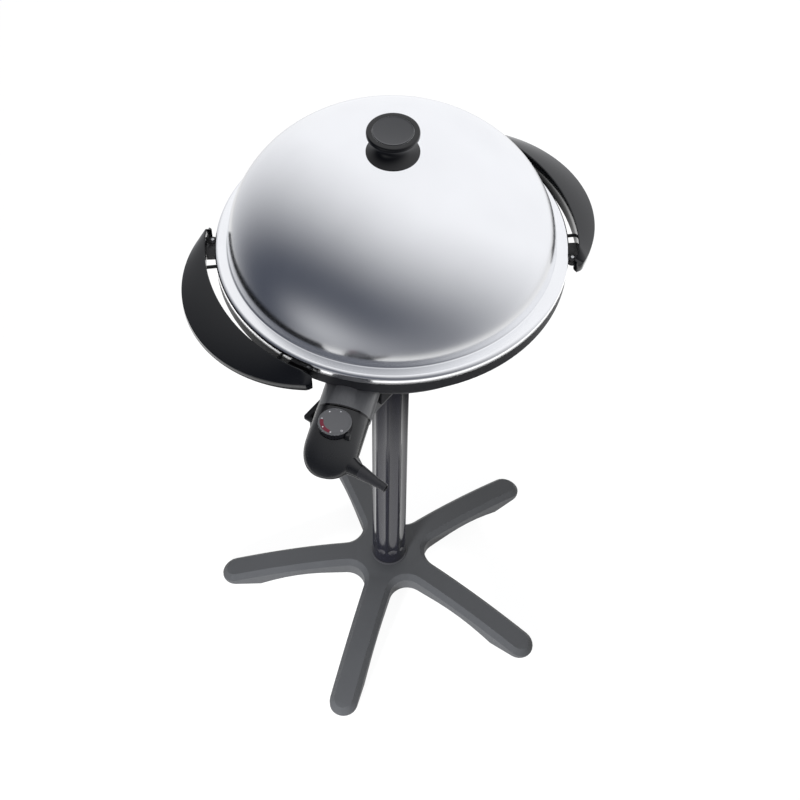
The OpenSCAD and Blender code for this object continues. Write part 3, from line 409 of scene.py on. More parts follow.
def surface(name, colour, roughness, metallic=0.0, grain=400.0, bump=0.05, tone=0.10, rough_span=0.06,
            coat=0.0, coat_roughness=0.1, specular=0.5, speckle=0.0):
    """A procedural finish: colour and roughness that drift, with a fine grain in the bump."""
    if name in FINISHES:
        return FINISHES[name]
    mat = FINISHES[name] = bpy.data.materials.new(name)
    nodes = Nodes(mat)
    place = nodes.add("TexCoord").outputs["Object"]
    drift = nodes.add("TexNoise", {"Vector": place, "Scale": DRIFT_SCALE, "Detail": 3.0}).outputs["Fac"]
    fine = nodes.add("TexNoise", {"Vector": place, "Scale": grain, "Detail": 2.0}).outputs["Fac"]
    low = [max(0.0, c * (1 - tone)) for c in colour]
    high = [min(1.0, c * (1 + tone)) for c in colour]
    ramp = nodes.ramp(nodes.reckoned("MULTIPLY_ADD", fine, speckle, drift),
                      ((DRIFT_LOW, (*low, 1)), (DRIFT_HIGH + speckle, (*high, 1))))
    rough = nodes.add("MapRange", {"Value": drift, "From Min": DRIFT_LOW, "From Max": DRIFT_HIGH,
                                   "To Min": max(LEAST_ROUGHNESS, roughness - rough_span / 2),
                                   "To Max": roughness + rough_span / 2})
    relief = nodes.add("Bump", {"Strength": bump, "Distance": GRAIN_DEPTH, "Height": fine})
    shader = nodes.add("BsdfPrincipled", {
        "Base Color": ramp.outputs["Color"], "Roughness": rough.outputs["Result"],
        "Normal": relief.outputs["Normal"], "Metallic": metallic, "Specular IOR Level": specular,
        "Coat Weight": coat, "Coat Roughness": coat_roughness})
    nodes.add("OutputMaterial", {"Surface": shader.outputs["BSDF"]})
    return mat


def finish(slot):
    """The finish of one of the record's material slots, of the dial's skirt or of the hood's band of painted
    shade.
    """
    paint = sizes("colours")
    table = {
        "base_coat": dict(colour=paint.base, roughness=0.50, grain=900, bump=0.16, tone=0.08, speckle=0.2),
        "rubber_pad": dict(colour=(0.02, 0.02, 0.021), roughness=0.8, grain=700, bump=0.2),
        "column_gloss": dict(colour=paint.column, roughness=0.14, coat=0.5, coat_roughness=0.05, grain=160,
                             bump=0.02, rough_span=0.05),
        "trim_black": dict(colour=(0.018, 0.018, 0.020), roughness=0.45, grain=800, bump=0.08),
        "plated_steel": dict(colour=(0.58, 0.59, 0.60), roughness=0.32, metallic=1.0, grain=900, bump=0.05),
        "bowl_coat": dict(colour=paint.coat, roughness=0.42, specular=0.1, grain=800, bump=0.10, tone=0.08,
                          speckle=0.15),
        "bright_sheet": dict(colour=(0.42, 0.43, 0.44), roughness=0.34, metallic=1.0, grain=300, bump=0.04),
        "heater_sheath": dict(colour=(0.17, 0.155, 0.14), roughness=0.5, metallic=0.8, grain=500, bump=0.1,
                              tone=0.25),
        "ceramic": dict(colour=(0.66, 0.61, 0.50), roughness=0.75, grain=600, bump=0.15),
        "shroud_black": dict(colour=paint.shroud, roughness=0.34, specular=0.6, grain=1100, bump=0.05,
                             tone=0.05),
        "handle_gloss": dict(colour=paint.handles, roughness=0.11, specular=0.45, grain=60, bump=0.01,
                             rough_span=0.04),
        "tray_grey": dict(colour=(0.05, 0.051, 0.054), roughness=0.45, grain=800, bump=0.08),
        "plate_coat": dict(colour=(0.022, 0.022, 0.023), roughness=0.55, grain=500, bump=0.2, tone=0.12,
                           speckle=0.3),
        "lid_steel": dict(colour=paint.lid, roughness=0.20, metallic=1.0, grain=260, bump=0.012, tone=0.02,
                          rough_span=0.03),
        "knob_gloss": dict(colour=(0.003, 0.003, 0.004), roughness=0.12, grain=80, bump=0.01),
        "knob_matt": dict(colour=(0.036, 0.037, 0.041), roughness=0.34, specular=0.6, grain=1500, bump=0.08,
                          tone=0.08),
        "housing_grey": dict(colour=paint.housing, roughness=0.28, specular=0.45, grain=1200, bump=0.05,
                             tone=0.05),
        "brass_contact": dict(colour=(0.74, 0.54, 0.27), roughness=0.3, metallic=1.0, grain=500, bump=0.05),
        "relief_rubber": dict(colour=(0.028, 0.028, 0.031), roughness=0.30, specular=0.3, grain=900, bump=0.05),
        # Painted shade: near black, for the shadowed gap round the hood's mouth.
        "hood_shade_band": dict(colour=(0.004, 0.004, 0.005), roughness=0.20, specular=0.3, grain=900, bump=0.02),
        "dial_side": dict(colour=(0.010, 0.010, 0.012), roughness=0.25, grain=900, bump=0.03),
        "dial_grey": dict(colour=paint.dial, roughness=0.42, grain=1300, bump=0.05, tone=0.05),
    }
    return surface(slot, **table[slot])


# ---------------------------------------------------------------- lid


class GRILL_OT_lid(bpy.types.Operator):
    """Spins the domed sheet-metal lid with its flange and rolled lip"""

    bl_idname = "grill.lid"
    bl_label = "Lid"

    def execute(self, context):
        s = sizes("lid")
        dome_r = s.radius - s.flange_width
        z = s.flange_height
        hole = 2.8 * MM
        fillet = s.foot_round
        step_in, round_in, foot_in = 0.5 * MM, 1.7 * MM, 2.0 * MM
        steps = 72

        def dome(r_side, r_up, base, start, end):
            return [(r_side * math.cos(a), base + r_up * math.sin(a))
                    for a in (start + (end - start) * i / steps for i in range(steps + 1))]

        top = math.acos(hole / dome_r)
        foot = math.asin(fillet / s.dome_height)
        outer = dome(dome_r, s.dome_height, z, top, foot)
        outer += arc((dome_r + fillet, z + fillet), fillet, 180, 270, 6)[1:]
        turn = (s.radius - s.lip_round, z - s.lip_round)
        outer += arc(turn, s.lip_round, 90, 0, 10)
        low = z - s.lip_height
        outer += arc((s.radius - s.sheet / 2, low + s.sheet / 2), s.sheet / 2, 0, -180, 6)
        inner = arc(turn, s.lip_round - s.sheet, 0, 90, 8)
        inner_r = dome_r - s.sheet
        inner += [(dome_r + step_in, z - s.sheet)]
        inner += arc((dome_r + step_in, z - s.sheet + round_in), round_in, 270, 180, 4)[1:]
        top_in = math.acos(hole / inner_r)
        inner += dome(inner_r, s.dome_height, z - s.sheet, math.asin(foot_in / s.dome_height), top_in)
        bm = spun(outer + inner, steps=224)
        finish_piece("lid_dome_shell", bm, "lid", ["lid_dome"], "lid_steel", crease=50)
        return {"FINISHED"}


class GRILL_OT_knob(bpy.types.Operator):
    """Spins the spool-shaped knob and the dished disc in its top"""

    bl_idname = "grill.knob"
    bl_label = "Knob"

    def execute(self, context):
        s, lid = sizes("knob"), sizes("lid")
        dome_r = lid.radius - lid.flange_width

        def dome_at(r):
            return lid.flange_height + lid.dome_height * math.sqrt(1 - (r / dome_r) ** 2)

        foot = dome_at(s.foot_radius)
        top = foot + s.height
        bore, foot_edge, rim, dish_depth = 6.9 * MM, 2 * MM, 5 * MM, 2 * MM
        flare_power = 2.4
        side = []
        for i in range(33):
            t = i / 32
            wide = s.foot_radius if t < 0.5 else s.top_radius
            side.append((s.waist_radius + (wide - s.waist_radius) * abs(2 * t - 1) ** flare_power,
                         foot + foot_edge + (s.height - foot_edge - rim) * t))
        hollow = (s.foot_radius - bore) / 12
        profile = [(r, dome_at(r) + 0.1 * MM) for r in (bore + hollow * i for i in range(12))]
        profile += [(s.foot_radius - 0.6 * MM, dome_at(s.foot_radius - 0.6 * MM) + 0.05 * MM)]
        profile += [(s.foot_radius, foot + 0.6 * MM)] + side
        profile += arc((s.top_radius - 2 * MM, top - 2.5 * MM), 2 * MM, 0, 90, 8, 2.5 * MM)
        seat = s.disc_radius
        profile += [(seat + 0.5 * MM, top), (seat + 0.1 * MM, top - 0.4 * MM), (seat, top - dish_depth),
                    (bore, top - dish_depth)]
        r = seat - 0.15 * MM
        hollow_r = r - 1.4 * MM
        dish = [(0, top - dish_depth), (r, top - dish_depth), (r, top + 0.1 * MM)]
        dish += arc((r - 0.5 * MM, top + 0.05 * MM), 0.5 * MM, 10, 150, 6, 0.35 * MM)
        dish += [(hollow_r, top - 0.05 * MM)]
        dish += [(hollow_r * (1 - i / 16), top - (1.75 - 1.7 * (1 - i / 16) ** 2) * MM) for i in range(1, 17)]
        for name, outline, node, slot in (("lid_knob_spool", profile, "lid_knob", "knob_gloss"),
                                          ("knob_disc_dish", dish, "knob_disc", "knob_matt")):
            piece = finish_piece(name, spun(outline, steps=96), "lid", [node], slot, crease=40)
            piece.visible_glossy = False  # the brushed dome gives back no clear image of the knob
        return {"FINISHED"}


# ---------------------------------------------------------------- head


class GRILL_OT_bowl(bpy.types.Operator):
    """Smooths the bowl, its socket and the brackets between bowl and handles"""

    bl_idname = "grill.bowl"
    bl_label = "Bowl"

    def execute(self, context):
        for node, slot, edge in (("bowl", "bowl_coat", 0.0), ("neck_socket", "bowl_coat", 0.0),
                                 ("handle_brackets", "trim_black", 0.5 * MM)):
            finish_piece(node + "_shell", node_copy(node), "head", [node], slot, crease=28, edge=edge)
        return {"FINISHED"}


def grip_bm(direction):
    """One crescent handle, lofted round the bowl between rounded tips, as a closed bmesh."""
    s = sizes("handles")
    inner, centre = s.inner, s.reach - s.arc_radius
    meet = math.acos((inner**2 + centre**2 - s.arc_radius**2) / (2 * inner * centre))
    body, nose = 0.842 * meet, 0.900 * meet  # where a tip begins to turn in, and where its rounding begins
    low = s.level - s.height
    edge_round, nose_round = 1.5 * MM, 5.9 * MM
    stations = [(body * (i / 40 - 1), 0.0) for i in range(81)]
    nose_steps = [(body + (nose - body) * i / 6, 0.0) for i in range(1, 7)]
    nose_steps += [(nose + nose_round * math.sin(b) / inner, nose_round * (1 - math.cos(b)))
                   for b in (math.radians(d) for d in (15, 30, 42, 53, 62, 70, 77, 83))]
    stations = [(-a, d) for a, d in reversed(nose_steps)] + stations + nose_steps

    def section(a, d):
        tip = min(1.0, max(0.0, (abs(a) - body) / (nose - body)))
        x0 = inner + d - s.nose_in * tip**2
        x1 = centre * math.cos(a) + math.sqrt(s.arc_radius**2 - (centre * math.sin(a)) ** 2) - d
        edge = low + s.edge_height + s.tip_rise * (a / meet) ** 2
        crest = s.level - s.nose_drop * tip**1.5 - d / 2
        r = min(edge_round, (x1 - x0) / 3)
        lean = math.degrees(math.atan2(crest - edge, x1 - x0))
        outline = arc((x0 + r, low + r), r, 180, 270, 4) + arc((x1 - r, low + r), r, 270, 360, 4)
        outline += arc((x1 - r, edge - r * 0.9), r, 0, 90 - lean, 4)
        outline += arc((x0 + r * 0.7, crest - r * 0.9), r * 0.7, 90 - lean, 180, 4)
        return [(x * math.cos(a), x * math.sin(a), z) for x, z in outline]

    bm, _ = lofted([section(*station) for station in stations])
    bmesh.ops.recalc_face_normals(bm, faces=bm.faces)
    return moved(bm, Matrix.Rotation(direction, 4, "Z"))


class GRILL_OT_handles(bpy.types.Operator):
    """Lofts both crescent handles and bores their screw holes"""

    bl_idname = "grill.handles"
    bl_label = "Handles"

    def execute(self, context):
        s = sizes("handles")
        for side, turn in (("left", math.pi), ("right", 0.0)):
            form = new_object("scratch", grip_bm(s.direction + turn))
            for way in (-1, 1):
                bore = cylinder_bm(2.6 * MM, 14 * MM, 24)
                place = (Matrix.Rotation(s.direction + turn + way * s.screw_turn, 4, "Z")
                         @ Matrix.Translation((s.inner - 5 * MM, 0, s.level - s.height + 5.4 * MM))
                         @ Matrix.Rotation(math.radians(90), 4, "Y"))
                cut_with(form, moved(bore, place))
            finish_piece("grip_" + side, taken(form), "head", ["handle_" + side], "handle_gloss", crease=24)
        return {"FINISHED"}


class GRILL_OT_shroud(bpy.types.Operator):
    """Dresses the hood over the socket, with a band of painted shade round its slanted mouth, where the gap at
    its seam lies in shadow
    """

    bl_idname = "grill.shroud"
    bl_label = "Socket shroud"

    def execute(self, context):
        s = sizes("controller")
        bm = node_copy("socket_shroud")
        row = controller_frame(s.start - s.hood_shade_band, 0, s.level)
        start = row.to_translation()
        outwards = row.to_3x3() @ Vector((math.cos(s.lean), 0, -math.sin(s.lean)))
        bmesh.ops.bisect_plane(bm, geom=bm.verts[:] + bm.edges[:] + bm.faces[:], plane_co=start,
                               plane_no=outwards)
        # Faces past the mouth's plane take the band of painted shade.
        for face in bm.faces:
            face.material_index = int((face.calc_center_median() - start).dot(outwards) > 0)
        finish_piece("socket_hood", bm, "head", ["socket_shroud"], "shroud_black",
                     [finish("shroud_black"), finish("hood_shade_band")], crease=30, edge=0.5 * MM)
        return {"FINISHED"}


class GRILL_OT_tray(bpy.types.Operator):
    """Softens the drip tray's edges"""

    bl_idname = "grill.tray"
    bl_label = "Drip tray"

    def execute(self, context):
        finish_piece("drip_tray_pan", node_copy("drip_tray"), "tray", ["drip_tray"], "tray_grey", crease=30,
                     edge=0.5 * MM)
        return {"FINISHED"}


class GRILL_OT_plate(bpy.types.Operator):
    """Smooths the ribbed grill plate"""

    bl_idname = "grill.plate"
    bl_label = "Grill plate"

    def execute(self, context):
        finish_piece("grill_plate_cast", node_copy("grill_plate"), "plate", ["grill_plate"], "plate_coat",
                     crease=30, edge=0.6 * MM)
        return {"FINISHED"}


# ---------------------------------------------------------------- thermostat


def bent(value, power):
    """A sine or cosine drawn out, so that a round section becomes a fuller one."""
    return math.copysign(abs(value) ** (2 / power), value)


def house_bm(inset, around, along, last):
    """The housing's form, from its mouth to its nose, as a closed bmesh in the row frame. It is smaller by inset
    all round, has around points on each of its along rings, and ends at last, where 1 is the very tip."""
    s = sizes("controller")
    bm = bmesh.new()
    bmesh.ops.create_circle(bm, cap_ends=True, segments=around, radius=1.0)
    ring = sorted(bm.verts, key=lambda v: -math.atan2(v.co.y, v.co.x) % math.tau)
    angles = [-math.atan2(v.co.y, v.co.x) % math.tau for v in ring]

    def place(verts, t):
        half = s.half_width * math.sqrt(1 - (max(0.0, t - 0.5) / 0.5) ** PLAN_POWER) - inset
        rise = s.rise * math.sqrt(1 - t**BACK_POWER) - inset
        drop = s.drop * math.sqrt(1 - t**BELLY_POWER) - inset
        for v, back in zip(verts, angles):
            a = -back
            up = math.sin(a) >= 0
            y = half * bent(math.cos(a), UPPER_POWER)
            z = rise * bent(math.sin(a), UPPER_POWER) if up else drop * bent(math.sin(a), LOWER_POWER)
            x = s.start + inset + (s.reach - s.start - 2 * inset) * t + z * math.tan(s.lean) * (1 - t)
            v.co = (x, y, s.level + z)

    place(ring, 0.0)
    for i in range(1, along + 1):
        ring = drawn_out(bm, ring)
        place(ring, last * (1 - (1 - i / along) ** CROWDING_POWER))
    bm.faces.new(ring)
    bmesh.ops.recalc_face_normals(bm, faces=bm.faces)
    return moved(bm, controller_frame())


def relief_frame():
    """Matrix of the strain relief's own frame, its z along the lead."""
    s = sizes("controller")
    return (controller_frame(RELIEF_OUT, RELIEF_ASIDE, s.level)
            @ Matrix.Rotation(math.radians(RELIEF_TURN), 4, "Z") @ Matrix.Rotation(math.radians(90), 4, "Y"))


def cylinder_bm(radius, depth, segments):
    """A cylinder that stands on the origin, as a bmesh."""
    bm = bmesh.new()
    bmesh.ops.create_cone(bm, cap_ends=True, segments=segments, radius1=radius, radius2=radius, depth=depth)
    bmesh.ops.translate(bm, verts=bm.verts, vec=(0, 0, depth / 2))
    return bm


def box_bm(low, high):
    """A box between two corners, as a bmesh."""
    bm = bmesh.new()
    bmesh.ops.create_cube(bm, size=1.0)
    bmesh.ops.scale(bm, vec=Vector(high) - Vector(low), verts=bm.verts)
    bmesh.ops.translate(bm, vec=(Vector(low) + Vector(high)) / 2, verts=bm.verts)
    return bm


class GRILL_OT_controller(bpy.types.Operator):
    """Lofts both halves of the thermostat's housing with the seat for the dial and the index lug"""

    bl_idname = "grill.controller"
    bl_label = "Thermostat housing"

    def execute(self, context):
        for half in ("upper", "lower"):
            form = new_object("scratch", house_bm(0.0, 96, 48, 0.998))
            cut_with(form, self.horn(), "UNION")
            self.halve(form, half)
            if half == "upper":
                cut_with(form, self.index_lug(), "UNION")
            cut_with(form, house_bm(sizes("controller").wall, 48, 16, 0.97))
            cut_with(form, moved(box_bm(*NOSE_BORE), controller_frame()))
            if half == "upper":
                cut_with(form, self.dial_seat())
            bm = taken(form)
            bmesh.ops.remove_doubles(bm, verts=bm.verts, dist=1e-6)
            finish_piece("controller_" + half + "_shell", bm, "controller", ["controller_" + half],
                         "housing_grey", crease=32, edge=0.35 * MM)
        return {"FINISHED"}

    def horn(self):
        """The flare that the strain relief stands on."""
        root, flare, neck = 30 * MM, 13 * MM, 8.6 * MM
        curve = [(neck + flare * (1 - i / 16) ** 2, -root + root * i / 16) for i in range(17)]
        return moved(spun([(0, -root)] + curve + [(0, 0)], steps=48), relief_frame())

    def halve(self, form, half):
        """Keeps the form above or below the seam, with half its gap."""
        split, half_gap = sizes("controller").split, 0.15 * MM
        low, high = (split + half_gap, 1) if half == "upper" else (0, split - half_gap)
        cut_with(form, box_bm((-1, -1, low), (1, 1, high)), "INTERSECT")

    def index_lug(self):
        """The lug beside the dial that its marks are read against."""
        dial = sizes("dial")
        lug = cylinder_bm(3.6 * MM, 10 * MM, 32)
        bmesh.ops.bevel(lug, geom=[e for e in lug.edges if all(v.co.z > 9 * MM for v in e.verts)],
                        offset=1.2 * MM, segments=3, profile=0.5, affect="EDGES", material=-1)
        return moved(lug, controller_frame(dial.distance, 0, SEAT_LEVEL - 4 * MM)
                     @ Matrix.Rotation(math.radians(LUG_TURN), 4, "Z")
                     @ Matrix.Translation((dial.radius + 2.2 * MM, 0, 0)))

    def dial_seat(self):
        dial = sizes("dial")
        seat = cylinder_bm(dial.radius + 0.6 * MM, 40 * MM, 96)
        return moved(seat, controller_frame(dial.distance, 0, SEAT_LEVEL - 0.1 * MM))


class GRILL_OT_relief(bpy.types.Operator):
    """Spins the tapered strain relief"""

    bl_idname = "grill.relief"
    bl_label = "Strain relief"

    def execute(self, context):
        s = sizes("relief")
        gap, lead_depth, taper_power = 0.02 * MM, 1.5 * MM, 1.35
        lead_r = s.lead / 2
        tip = lead_r + 1.5 * MM
        profile = [(0, gap)]
        for i in range(25):
            t = i / 24
            profile.append((tip + (s.root_radius - tip) * (1 - t) ** taper_power,
                            gap + (s.length - 0.9 * MM) * t))
        end = s.length - 0.5 * MM
        profile += [(tip - 0.3 * MM, end), (lead_r + 0.1 * MM, end), (lead_r - 0.1 * MM, end - lead_depth),
                    (0, end - lead_depth)]
        bm = moved(spun(profile, steps=48), relief_frame())
        finish_piece("strain_relief_sleeve", bm, "controller", ["strain_relief"], "relief_rubber", crease=40)
        return {"FINISHED"}


class GRILL_OT_dial(bpy.types.Operator):
    """Spins the dial and lays its marks and heat arc on the face"""

    bl_idname = "grill.dial"
    bl_label = "Dial"

    def execute(self, context):
        s = sizes("dial")
        low, high = DIAL_LOW.z, DIAL_HIGH.z
        r, dish = s.radius, 0.35 * MM
        profile = [(0, low), (r - 0.4 * MM, low), (r, low + 0.6 * MM), (r, high - 2.2 * MM)]
        profile += arc((r - 1.1 * MM, high - 1.2 * MM), 1.1 * MM, 0, 90, 6, 1.2 * MM)
        profile += [(r - 1.9 * MM, high - 0.05 * MM), (r - 2.3 * MM, high - dish), (0, high - dish)]
        bm = moved(spun(profile, steps=96), controller_frame(s.distance))
        for face in bm.faces:
            face.material_index = int(face.calc_center_median().z < high - 0.9 * MM)
        finish_piece("dial_cap", bm, "dial", ["control_dial"], "dial_grey",
                     [finish("dial_grey"), finish("dial_side")], crease=25)
        white = surface("mark_white", (0.72, 0.72, 0.74), 0.5, grain=900, bump=0.03, tone=0.03)
        red = surface("mark_red", sizes("colours").heat_mark, 0.5, grain=900, bump=0.03, tone=0.05)
        way = sizes("controller").direction
        centre = Vector((s.distance * math.cos(way), s.distance * math.sin(way), high - 0.33 * MM))
        finish_piece("dial_marks", self.marks(s, centre), "dial", [], "dial_grey", [white])
        finish_piece("dial_heat_arc", self.heat_arc(s, centre), "dial", [], "dial_grey", [red])
        return {"FINISHED"}

    def marks(self, s, centre):
        """A dot for each setting and a ring for off, as one bmesh."""

        def at(turn):
            a = math.radians(turn)
            return centre + s.mark_radius * Vector((math.cos(a), math.sin(a), 0))

        marks = bmesh.new()
        for turn in DOT_TURNS:
            dot = bmesh.ops.create_circle(marks, cap_ends=True, segments=16, radius=s.mark_size)["verts"]
            bmesh.ops.translate(marks, verts=dot, vec=at(turn))
        raised(marks, 0.06 * MM)
        within, around, thick = s.mark_size * 1.1, s.mark_size * 1.7, 0.05 * MM
        ring = spun([(within, 0), (around, 0), (around, thick), (within, thick)], steps=20)
        moved(ring, Matrix.Translation(at(RING_TURN)))
        spare = bpy.data.meshes.new("ring")
        ring.to_mesh(spare)
        ring.free()
        marks.from_mesh(spare)
        bpy.data.meshes.remove(spare)
        return marks

    def heat_arc(self, s, centre):
        """The flat band beside the marks that stands for the heat, as a bmesh."""
        band = bmesh.new()
        start, end = (math.radians(turn) for turn in ARC_TURNS)
        verts = [band.verts.new((radius * math.cos(start), radius * math.sin(start), 0))
                 for radius in (s.mark_radius - 2.5 * MM, s.mark_radius + 1.7 * MM)]
        edge = band.edges.new(verts)
        bmesh.ops.spin(band, geom=[*verts, edge], cent=(0, 0, 0), axis=(0, 0, 1), angle=end - start, steps=28)
        raised(band, 0.03 * MM)
        return moved(band, Matrix.Translation(centre))


# ---------------------------------------------------------------- stand


class GRILL_OT_column(bpy.types.Operator):
    """Extrudes the fluted column with rounded flute ends"""

    bl_idname = "grill.column"
    bl_label = "Column"

    def execute(self, context):
        s = sizes("column")
        turn = math.asin(s.flute_half_width / s.radius)
        side = s.radius * (math.cos(turn) - 1) + s.flute_depth
        cut_r = (side**2 + s.flute_half_width**2) / (2 * side)
        cut_at = s.radius - s.flute_depth + cut_r
        low = TUBE_LOW.z + s.flute_start
        ball = low + math.sqrt(cut_r**2 - (cut_at - s.radius) ** 2)
        pitch = math.tau / s.flutes
        first = math.radians(FIRST_FLUTE)
        land_points = FLUTE_PITCH_POINTS - FLUTE_POINTS
        angles = []
        for k in range(s.flutes):
            for i in range(FLUTE_POINTS):
                angles.append(first + k * pitch - turn + 2 * turn * i / FLUTE_POINTS)
            for i in range(land_points):
                angles.append(first + k * pitch + turn + (pitch - 2 * turn) * i / land_points)

        def surface_r(a, z):
            """Radius of the outside: a flute is a groove of radius cut_r that starts as a quarter ball."""
            off = (a - first + pitch / 2) % pitch - pitch / 2
            reach = cut_r**2 - (max(0.0, ball - z)) ** 2
            if reach <= 0:
                return s.radius
            inside = reach - (cut_at * math.sin(off)) ** 2
            if inside <= 0:
                return s.radius
            return min(s.radius, cut_at * math.cos(off) - math.sqrt(inside))

        levels = [TUBE_LOW.z, low - 0.5 * MM]
        levels += [low + (ball - low) * (1 - math.cos(math.radians(90 * i / 28))) for i in range(29)]
        levels += [TUBE_HIGH.z]
        bm, ring = lofted([[(surface_r(a, z) * math.cos(a), surface_r(a, z) * math.sin(a), z) for a in angles]
                           for z in levels], closed=False)
        inner = s.radius - 4 * MM
        for v in drawn_out(bm, ring):
            scale = inner / math.hypot(v.co.x, v.co.y)
            v.co = (v.co.x * scale, v.co.y * scale, v.co.z)
        bmesh.ops.recalc_face_normals(bm, faces=bm.faces)
        finish_piece("column_sleeve", bm, "stand", ["column_tube"], "column_gloss", crease=22)
        return {"FINISHED"}


class GRILL_OT_base(bpy.types.Operator):
    """Softens the cast star base's edges"""

    bl_idname = "grill.base"
    bl_label = "Star base"

    def execute(self, context):
        finish_piece("star_base_casting", node_copy("star_base"), "stand", ["star_base"], "base_coat",
                     crease=26, edge=sizes("base").softness, edge_segments=3)
        return {"FINISHED"}


# ---------------------------------------------------------------- the rest


class GRILL_OT_fittings(bpy.types.Operator):
    """Gives every CAD node that shows as it is the finish of its slot"""

    bl_idname = "grill.fittings"
    bl_label = "Fittings"

    def execute(self, context):
        for row in frame["record"]["subparts"]:
            node = frame["nodes"][row["node"]]
            if node.hide_render:
                continue
            material = finish(row["material_slot"])
            if node.material_slots:
                for place in node.material_slots:
                    place.material = material
            else:
                node.data.materials.append(material)
        return {"FINISHED"}


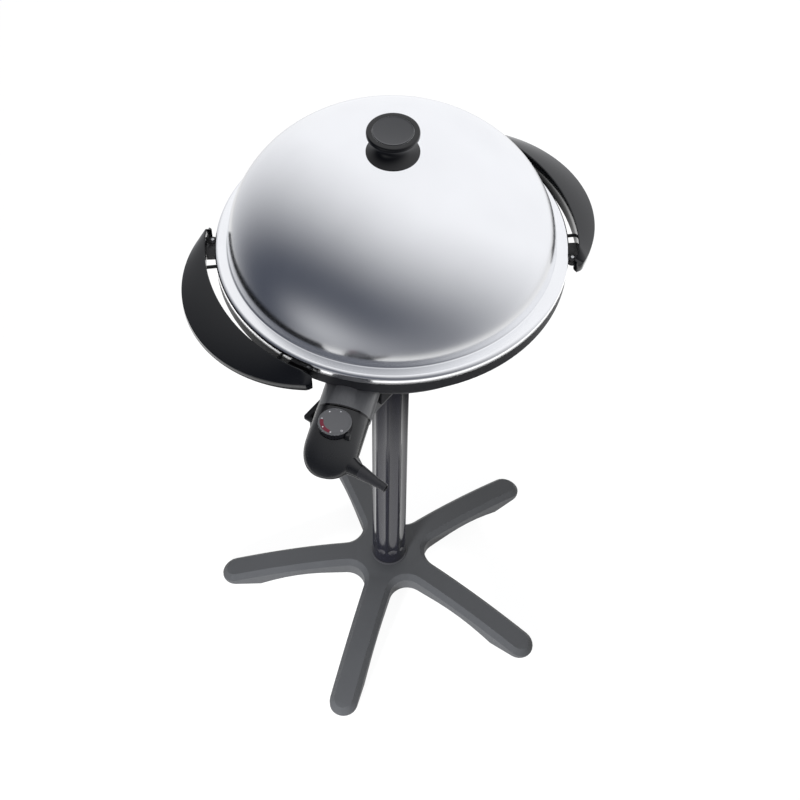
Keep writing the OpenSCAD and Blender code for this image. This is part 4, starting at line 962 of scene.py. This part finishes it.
class GRILL_OT_studio(bpy.types.Operator):
    """Lays the pale floor and sets the soft light and the camera"""

    bl_idname = "grill.studio"
    bl_label = "Studio"

    def execute(self, context):
        s = sizes("studio")
        scene = context.scene
        scene.view_settings.view_transform = "Standard"
        bm = bmesh.new()
        bmesh.ops.create_circle(bm, cap_ends=True, segments=96, radius=FLOOR_RADIUS)
        floor = new_object("floor", bm)
        floor.data.materials.append(self.floor_material())
        scene.world = self.world()
        middle = (0, 0, 0.5)
        self.lamp("overhead", "AREA", (0.5, 0.9, 3.0), middle, s.fill * 0.3, shape="DISK", size=1.4)
        self.lamp("side", "AREA", (2.6, -1.2, 1.8), middle, s.fill * 0.5, shape="DISK", size=1.8)
        self.lamp("front", "SPOT", (-1.3, -2.5, 1.0), (0, 0, 0.02), s.front, spot_size=math.radians(23),
                  spot_blend=0.5, shadow_soft_size=0.3)
        self.camera(scene, s)
        return {"FINISHED"}

    def floor_material(self):
        """White to the camera, with a faint shadow; to reflections, painted pale and dark glowing rings, and
        clear beyond.
        """
        mat = bpy.data.materials.new("studio_floor")
        nodes = Nodes(mat)
        path = nodes.add("LightPath").outputs
        matt = nodes.add("BsdfDiffuse", {"Color": FLOOR_COLOUR})
        glow = nodes.add("Emission", {"Strength": FLOOR_GLOW})
        seen = nodes.mixed(nodes.reckoned("MULTIPLY", path["Is Camera Ray"], FLOOR_GLOW_SHARE), matt, glow)
        place = nodes.add("TexCoord").outputs["Object"]
        away = nodes.add("VectorMath", {0: place}, operation="LENGTH").outputs["Value"]
        # Painted reflections: these rings glow for glossy rays only.
        rings = nodes.ramp(nodes.reckoned("DIVIDE", away, FLOOR_RADIUS),
                           [(distance / FLOOR_RADIUS, (*[brightness / RING_RANGE] * 3, solid))
                            for distance, brightness, solid in PAINTED_REFLECTION_RINGS])
        pale = nodes.add("Emission", {"Color": rings.outputs["Color"], "Strength": RING_RANGE})
        mirrored = nodes.mixed(rings.outputs["Alpha"], nodes.add("BsdfTransparent"), pale)
        mix = nodes.mixed(path["Is Glossy Ray"], seen, mirrored)
        nodes.add("OutputMaterial", {"Surface": mix.outputs[0]})
        return mat

    def world(self):
        """A bright room with soft grey patches in front and to the left; the camera itself sees white."""
        world = bpy.data.worlds.new("studio")
        nodes = Nodes(world)
        towards = nodes.add("TexCoord").outputs["Generated"]
        light = ROOM_LIGHT
        for direction, sharpness, amount in ROOM_PATCHES:
            dot = nodes.add("VectorMath", {0: towards, 1: direction}, operation="DOT_PRODUCT").outputs["Value"]
            patch = nodes.reckoned("EXPONENT", nodes.reckoned("MULTIPLY_ADD", dot, sharpness, -sharpness))
            light = nodes.reckoned("MULTIPLY_ADD", patch, amount, light)
        light = nodes.reckoned("POWER", nodes.reckoned("MAXIMUM", light, ROOM_DARKEST), ROOM_CONTRAST)
        light = nodes.reckoned("MULTIPLY_ADD", light, ROOM_GAIN, ROOM_LEAST)
        light = nodes.reckoned("MINIMUM", light, ROOM_BRIGHTEST)
        tint = nodes.add("VectorMath", {0: light, 1: ROOM_TINT}, operation="ADD").outputs["Vector"]
        room = nodes.add("Background", {"Color": tint, "Strength": 1.0})
        white = nodes.add("Background", {"Color": (1, 1, 1, 1), "Strength": 1.0})
        seen = nodes.add("LightPath").outputs["Is Camera Ray"]
        nodes.add("OutputWorld", {"Surface": nodes.mixed(seen, room, white).outputs[0]})
        return world

    def lamp(self, name, kind, place, target, power, **settings):
        """Lights the target from the place given; polished parts don't mirror the lamp."""
        data = bpy.data.lights.new(name, kind)
        data.energy = power
        for key, value in settings.items():
            setattr(data, key, value)
        lamp = bpy.data.objects.new(name, data)
        lamp.location = place
        lamp.rotation_euler = (Vector(target) - Vector(place)).to_track_quat("-Z", "Y").to_euler()
        lamp.visible_glossy = False
        bpy.context.scene.collection.objects.link(lamp)

    def camera(self, scene, s):
        """Looks along the pitch and yaw, rolled about that line."""
        data = bpy.data.cameras.new("camera")
        data.lens = s.lens
        data.sensor_width = SENSOR_WIDTH
        data.sensor_fit = "HORIZONTAL"
        camera = bpy.data.objects.new("camera", data)
        forward = Vector((-math.sin(s.yaw) * math.cos(s.pitch), math.cos(s.yaw) * math.cos(s.pitch),
                          -math.sin(s.pitch)))
        level = Vector((math.cos(s.yaw), math.sin(s.yaw), 0))
        up = level.cross(forward)
        right = level * math.cos(s.roll) + up * math.sin(s.roll)
        above = up * math.cos(s.roll) - level * math.sin(s.roll)
        turn = Matrix((right, above, -forward)).transposed().to_4x4()
        camera.matrix_world = Matrix.Translation(s.place) @ turn
        scene.collection.objects.link(camera)
        scene.camera = camera


class GRILL_PT_panel(bpy.types.Panel):
    """Lists the operators and sizes in the 3D view's sidebar"""

    bl_idname = "GRILL_PT_panel"
    bl_label = "Pedestal grill"
    bl_space_type = "VIEW_3D"
    bl_region_type = "UI"
    bl_category = "Grill"

    def draw(self, context):
        for name in GROUPS:
            box = self.layout.box()
            box.label(text=name.capitalize())
            group = sizes(name)
            for key in group.bl_rna.properties.keys():
                if key not in ("name", "rna_type"):
                    box.prop(group, key)
        for operator in OPERATORS:
            self.layout.operator(operator.bl_idname)


GROUPS = {
    "lid": LidSizes,
    "knob": KnobSizes,
    "handles": HandleSizes,
    "controller": ControllerSizes,
    "dial": DialSizes,
    "relief": ReliefSizes,
    "column": ColumnSizes,
    "base": BaseSizes,
    "colours": FinishColours,
    "studio": StudioSettings,
}
OPERATORS = (
    GRILL_OT_lid, GRILL_OT_knob, GRILL_OT_bowl, GRILL_OT_handles, GRILL_OT_shroud, GRILL_OT_tray, GRILL_OT_plate,
    GRILL_OT_controller, GRILL_OT_relief, GRILL_OT_dial, GRILL_OT_column, GRILL_OT_base, GRILL_OT_fittings,
    GRILL_OT_studio,
)


def register():
    for group in GROUPS.values():
        bpy.utils.register_class(group)
    for operator in OPERATORS:
        bpy.utils.register_class(operator)
    bpy.utils.register_class(GRILL_PT_panel)
    for name, group in GROUPS.items():
        setattr(bpy.types.Scene, "grill_" + name, PointerProperty(type=group))


def unregister():
    for name in GROUPS:
        delattr(bpy.types.Scene, "grill_" + name)
    bpy.utils.unregister_class(GRILL_PT_panel)
    for operator in reversed(OPERATORS):
        bpy.utils.unregister_class(operator)
    for group in reversed(list(GROUPS.values())):
        bpy.utils.unregister_class(group)


def main():
    register()
    for operator in OPERATORS:
        group, name = operator.bl_idname.split(".")
        getattr(getattr(bpy.ops, group), name)()
    bpy.context.view_layer.update()


if __name__ == "__main__":
    main()
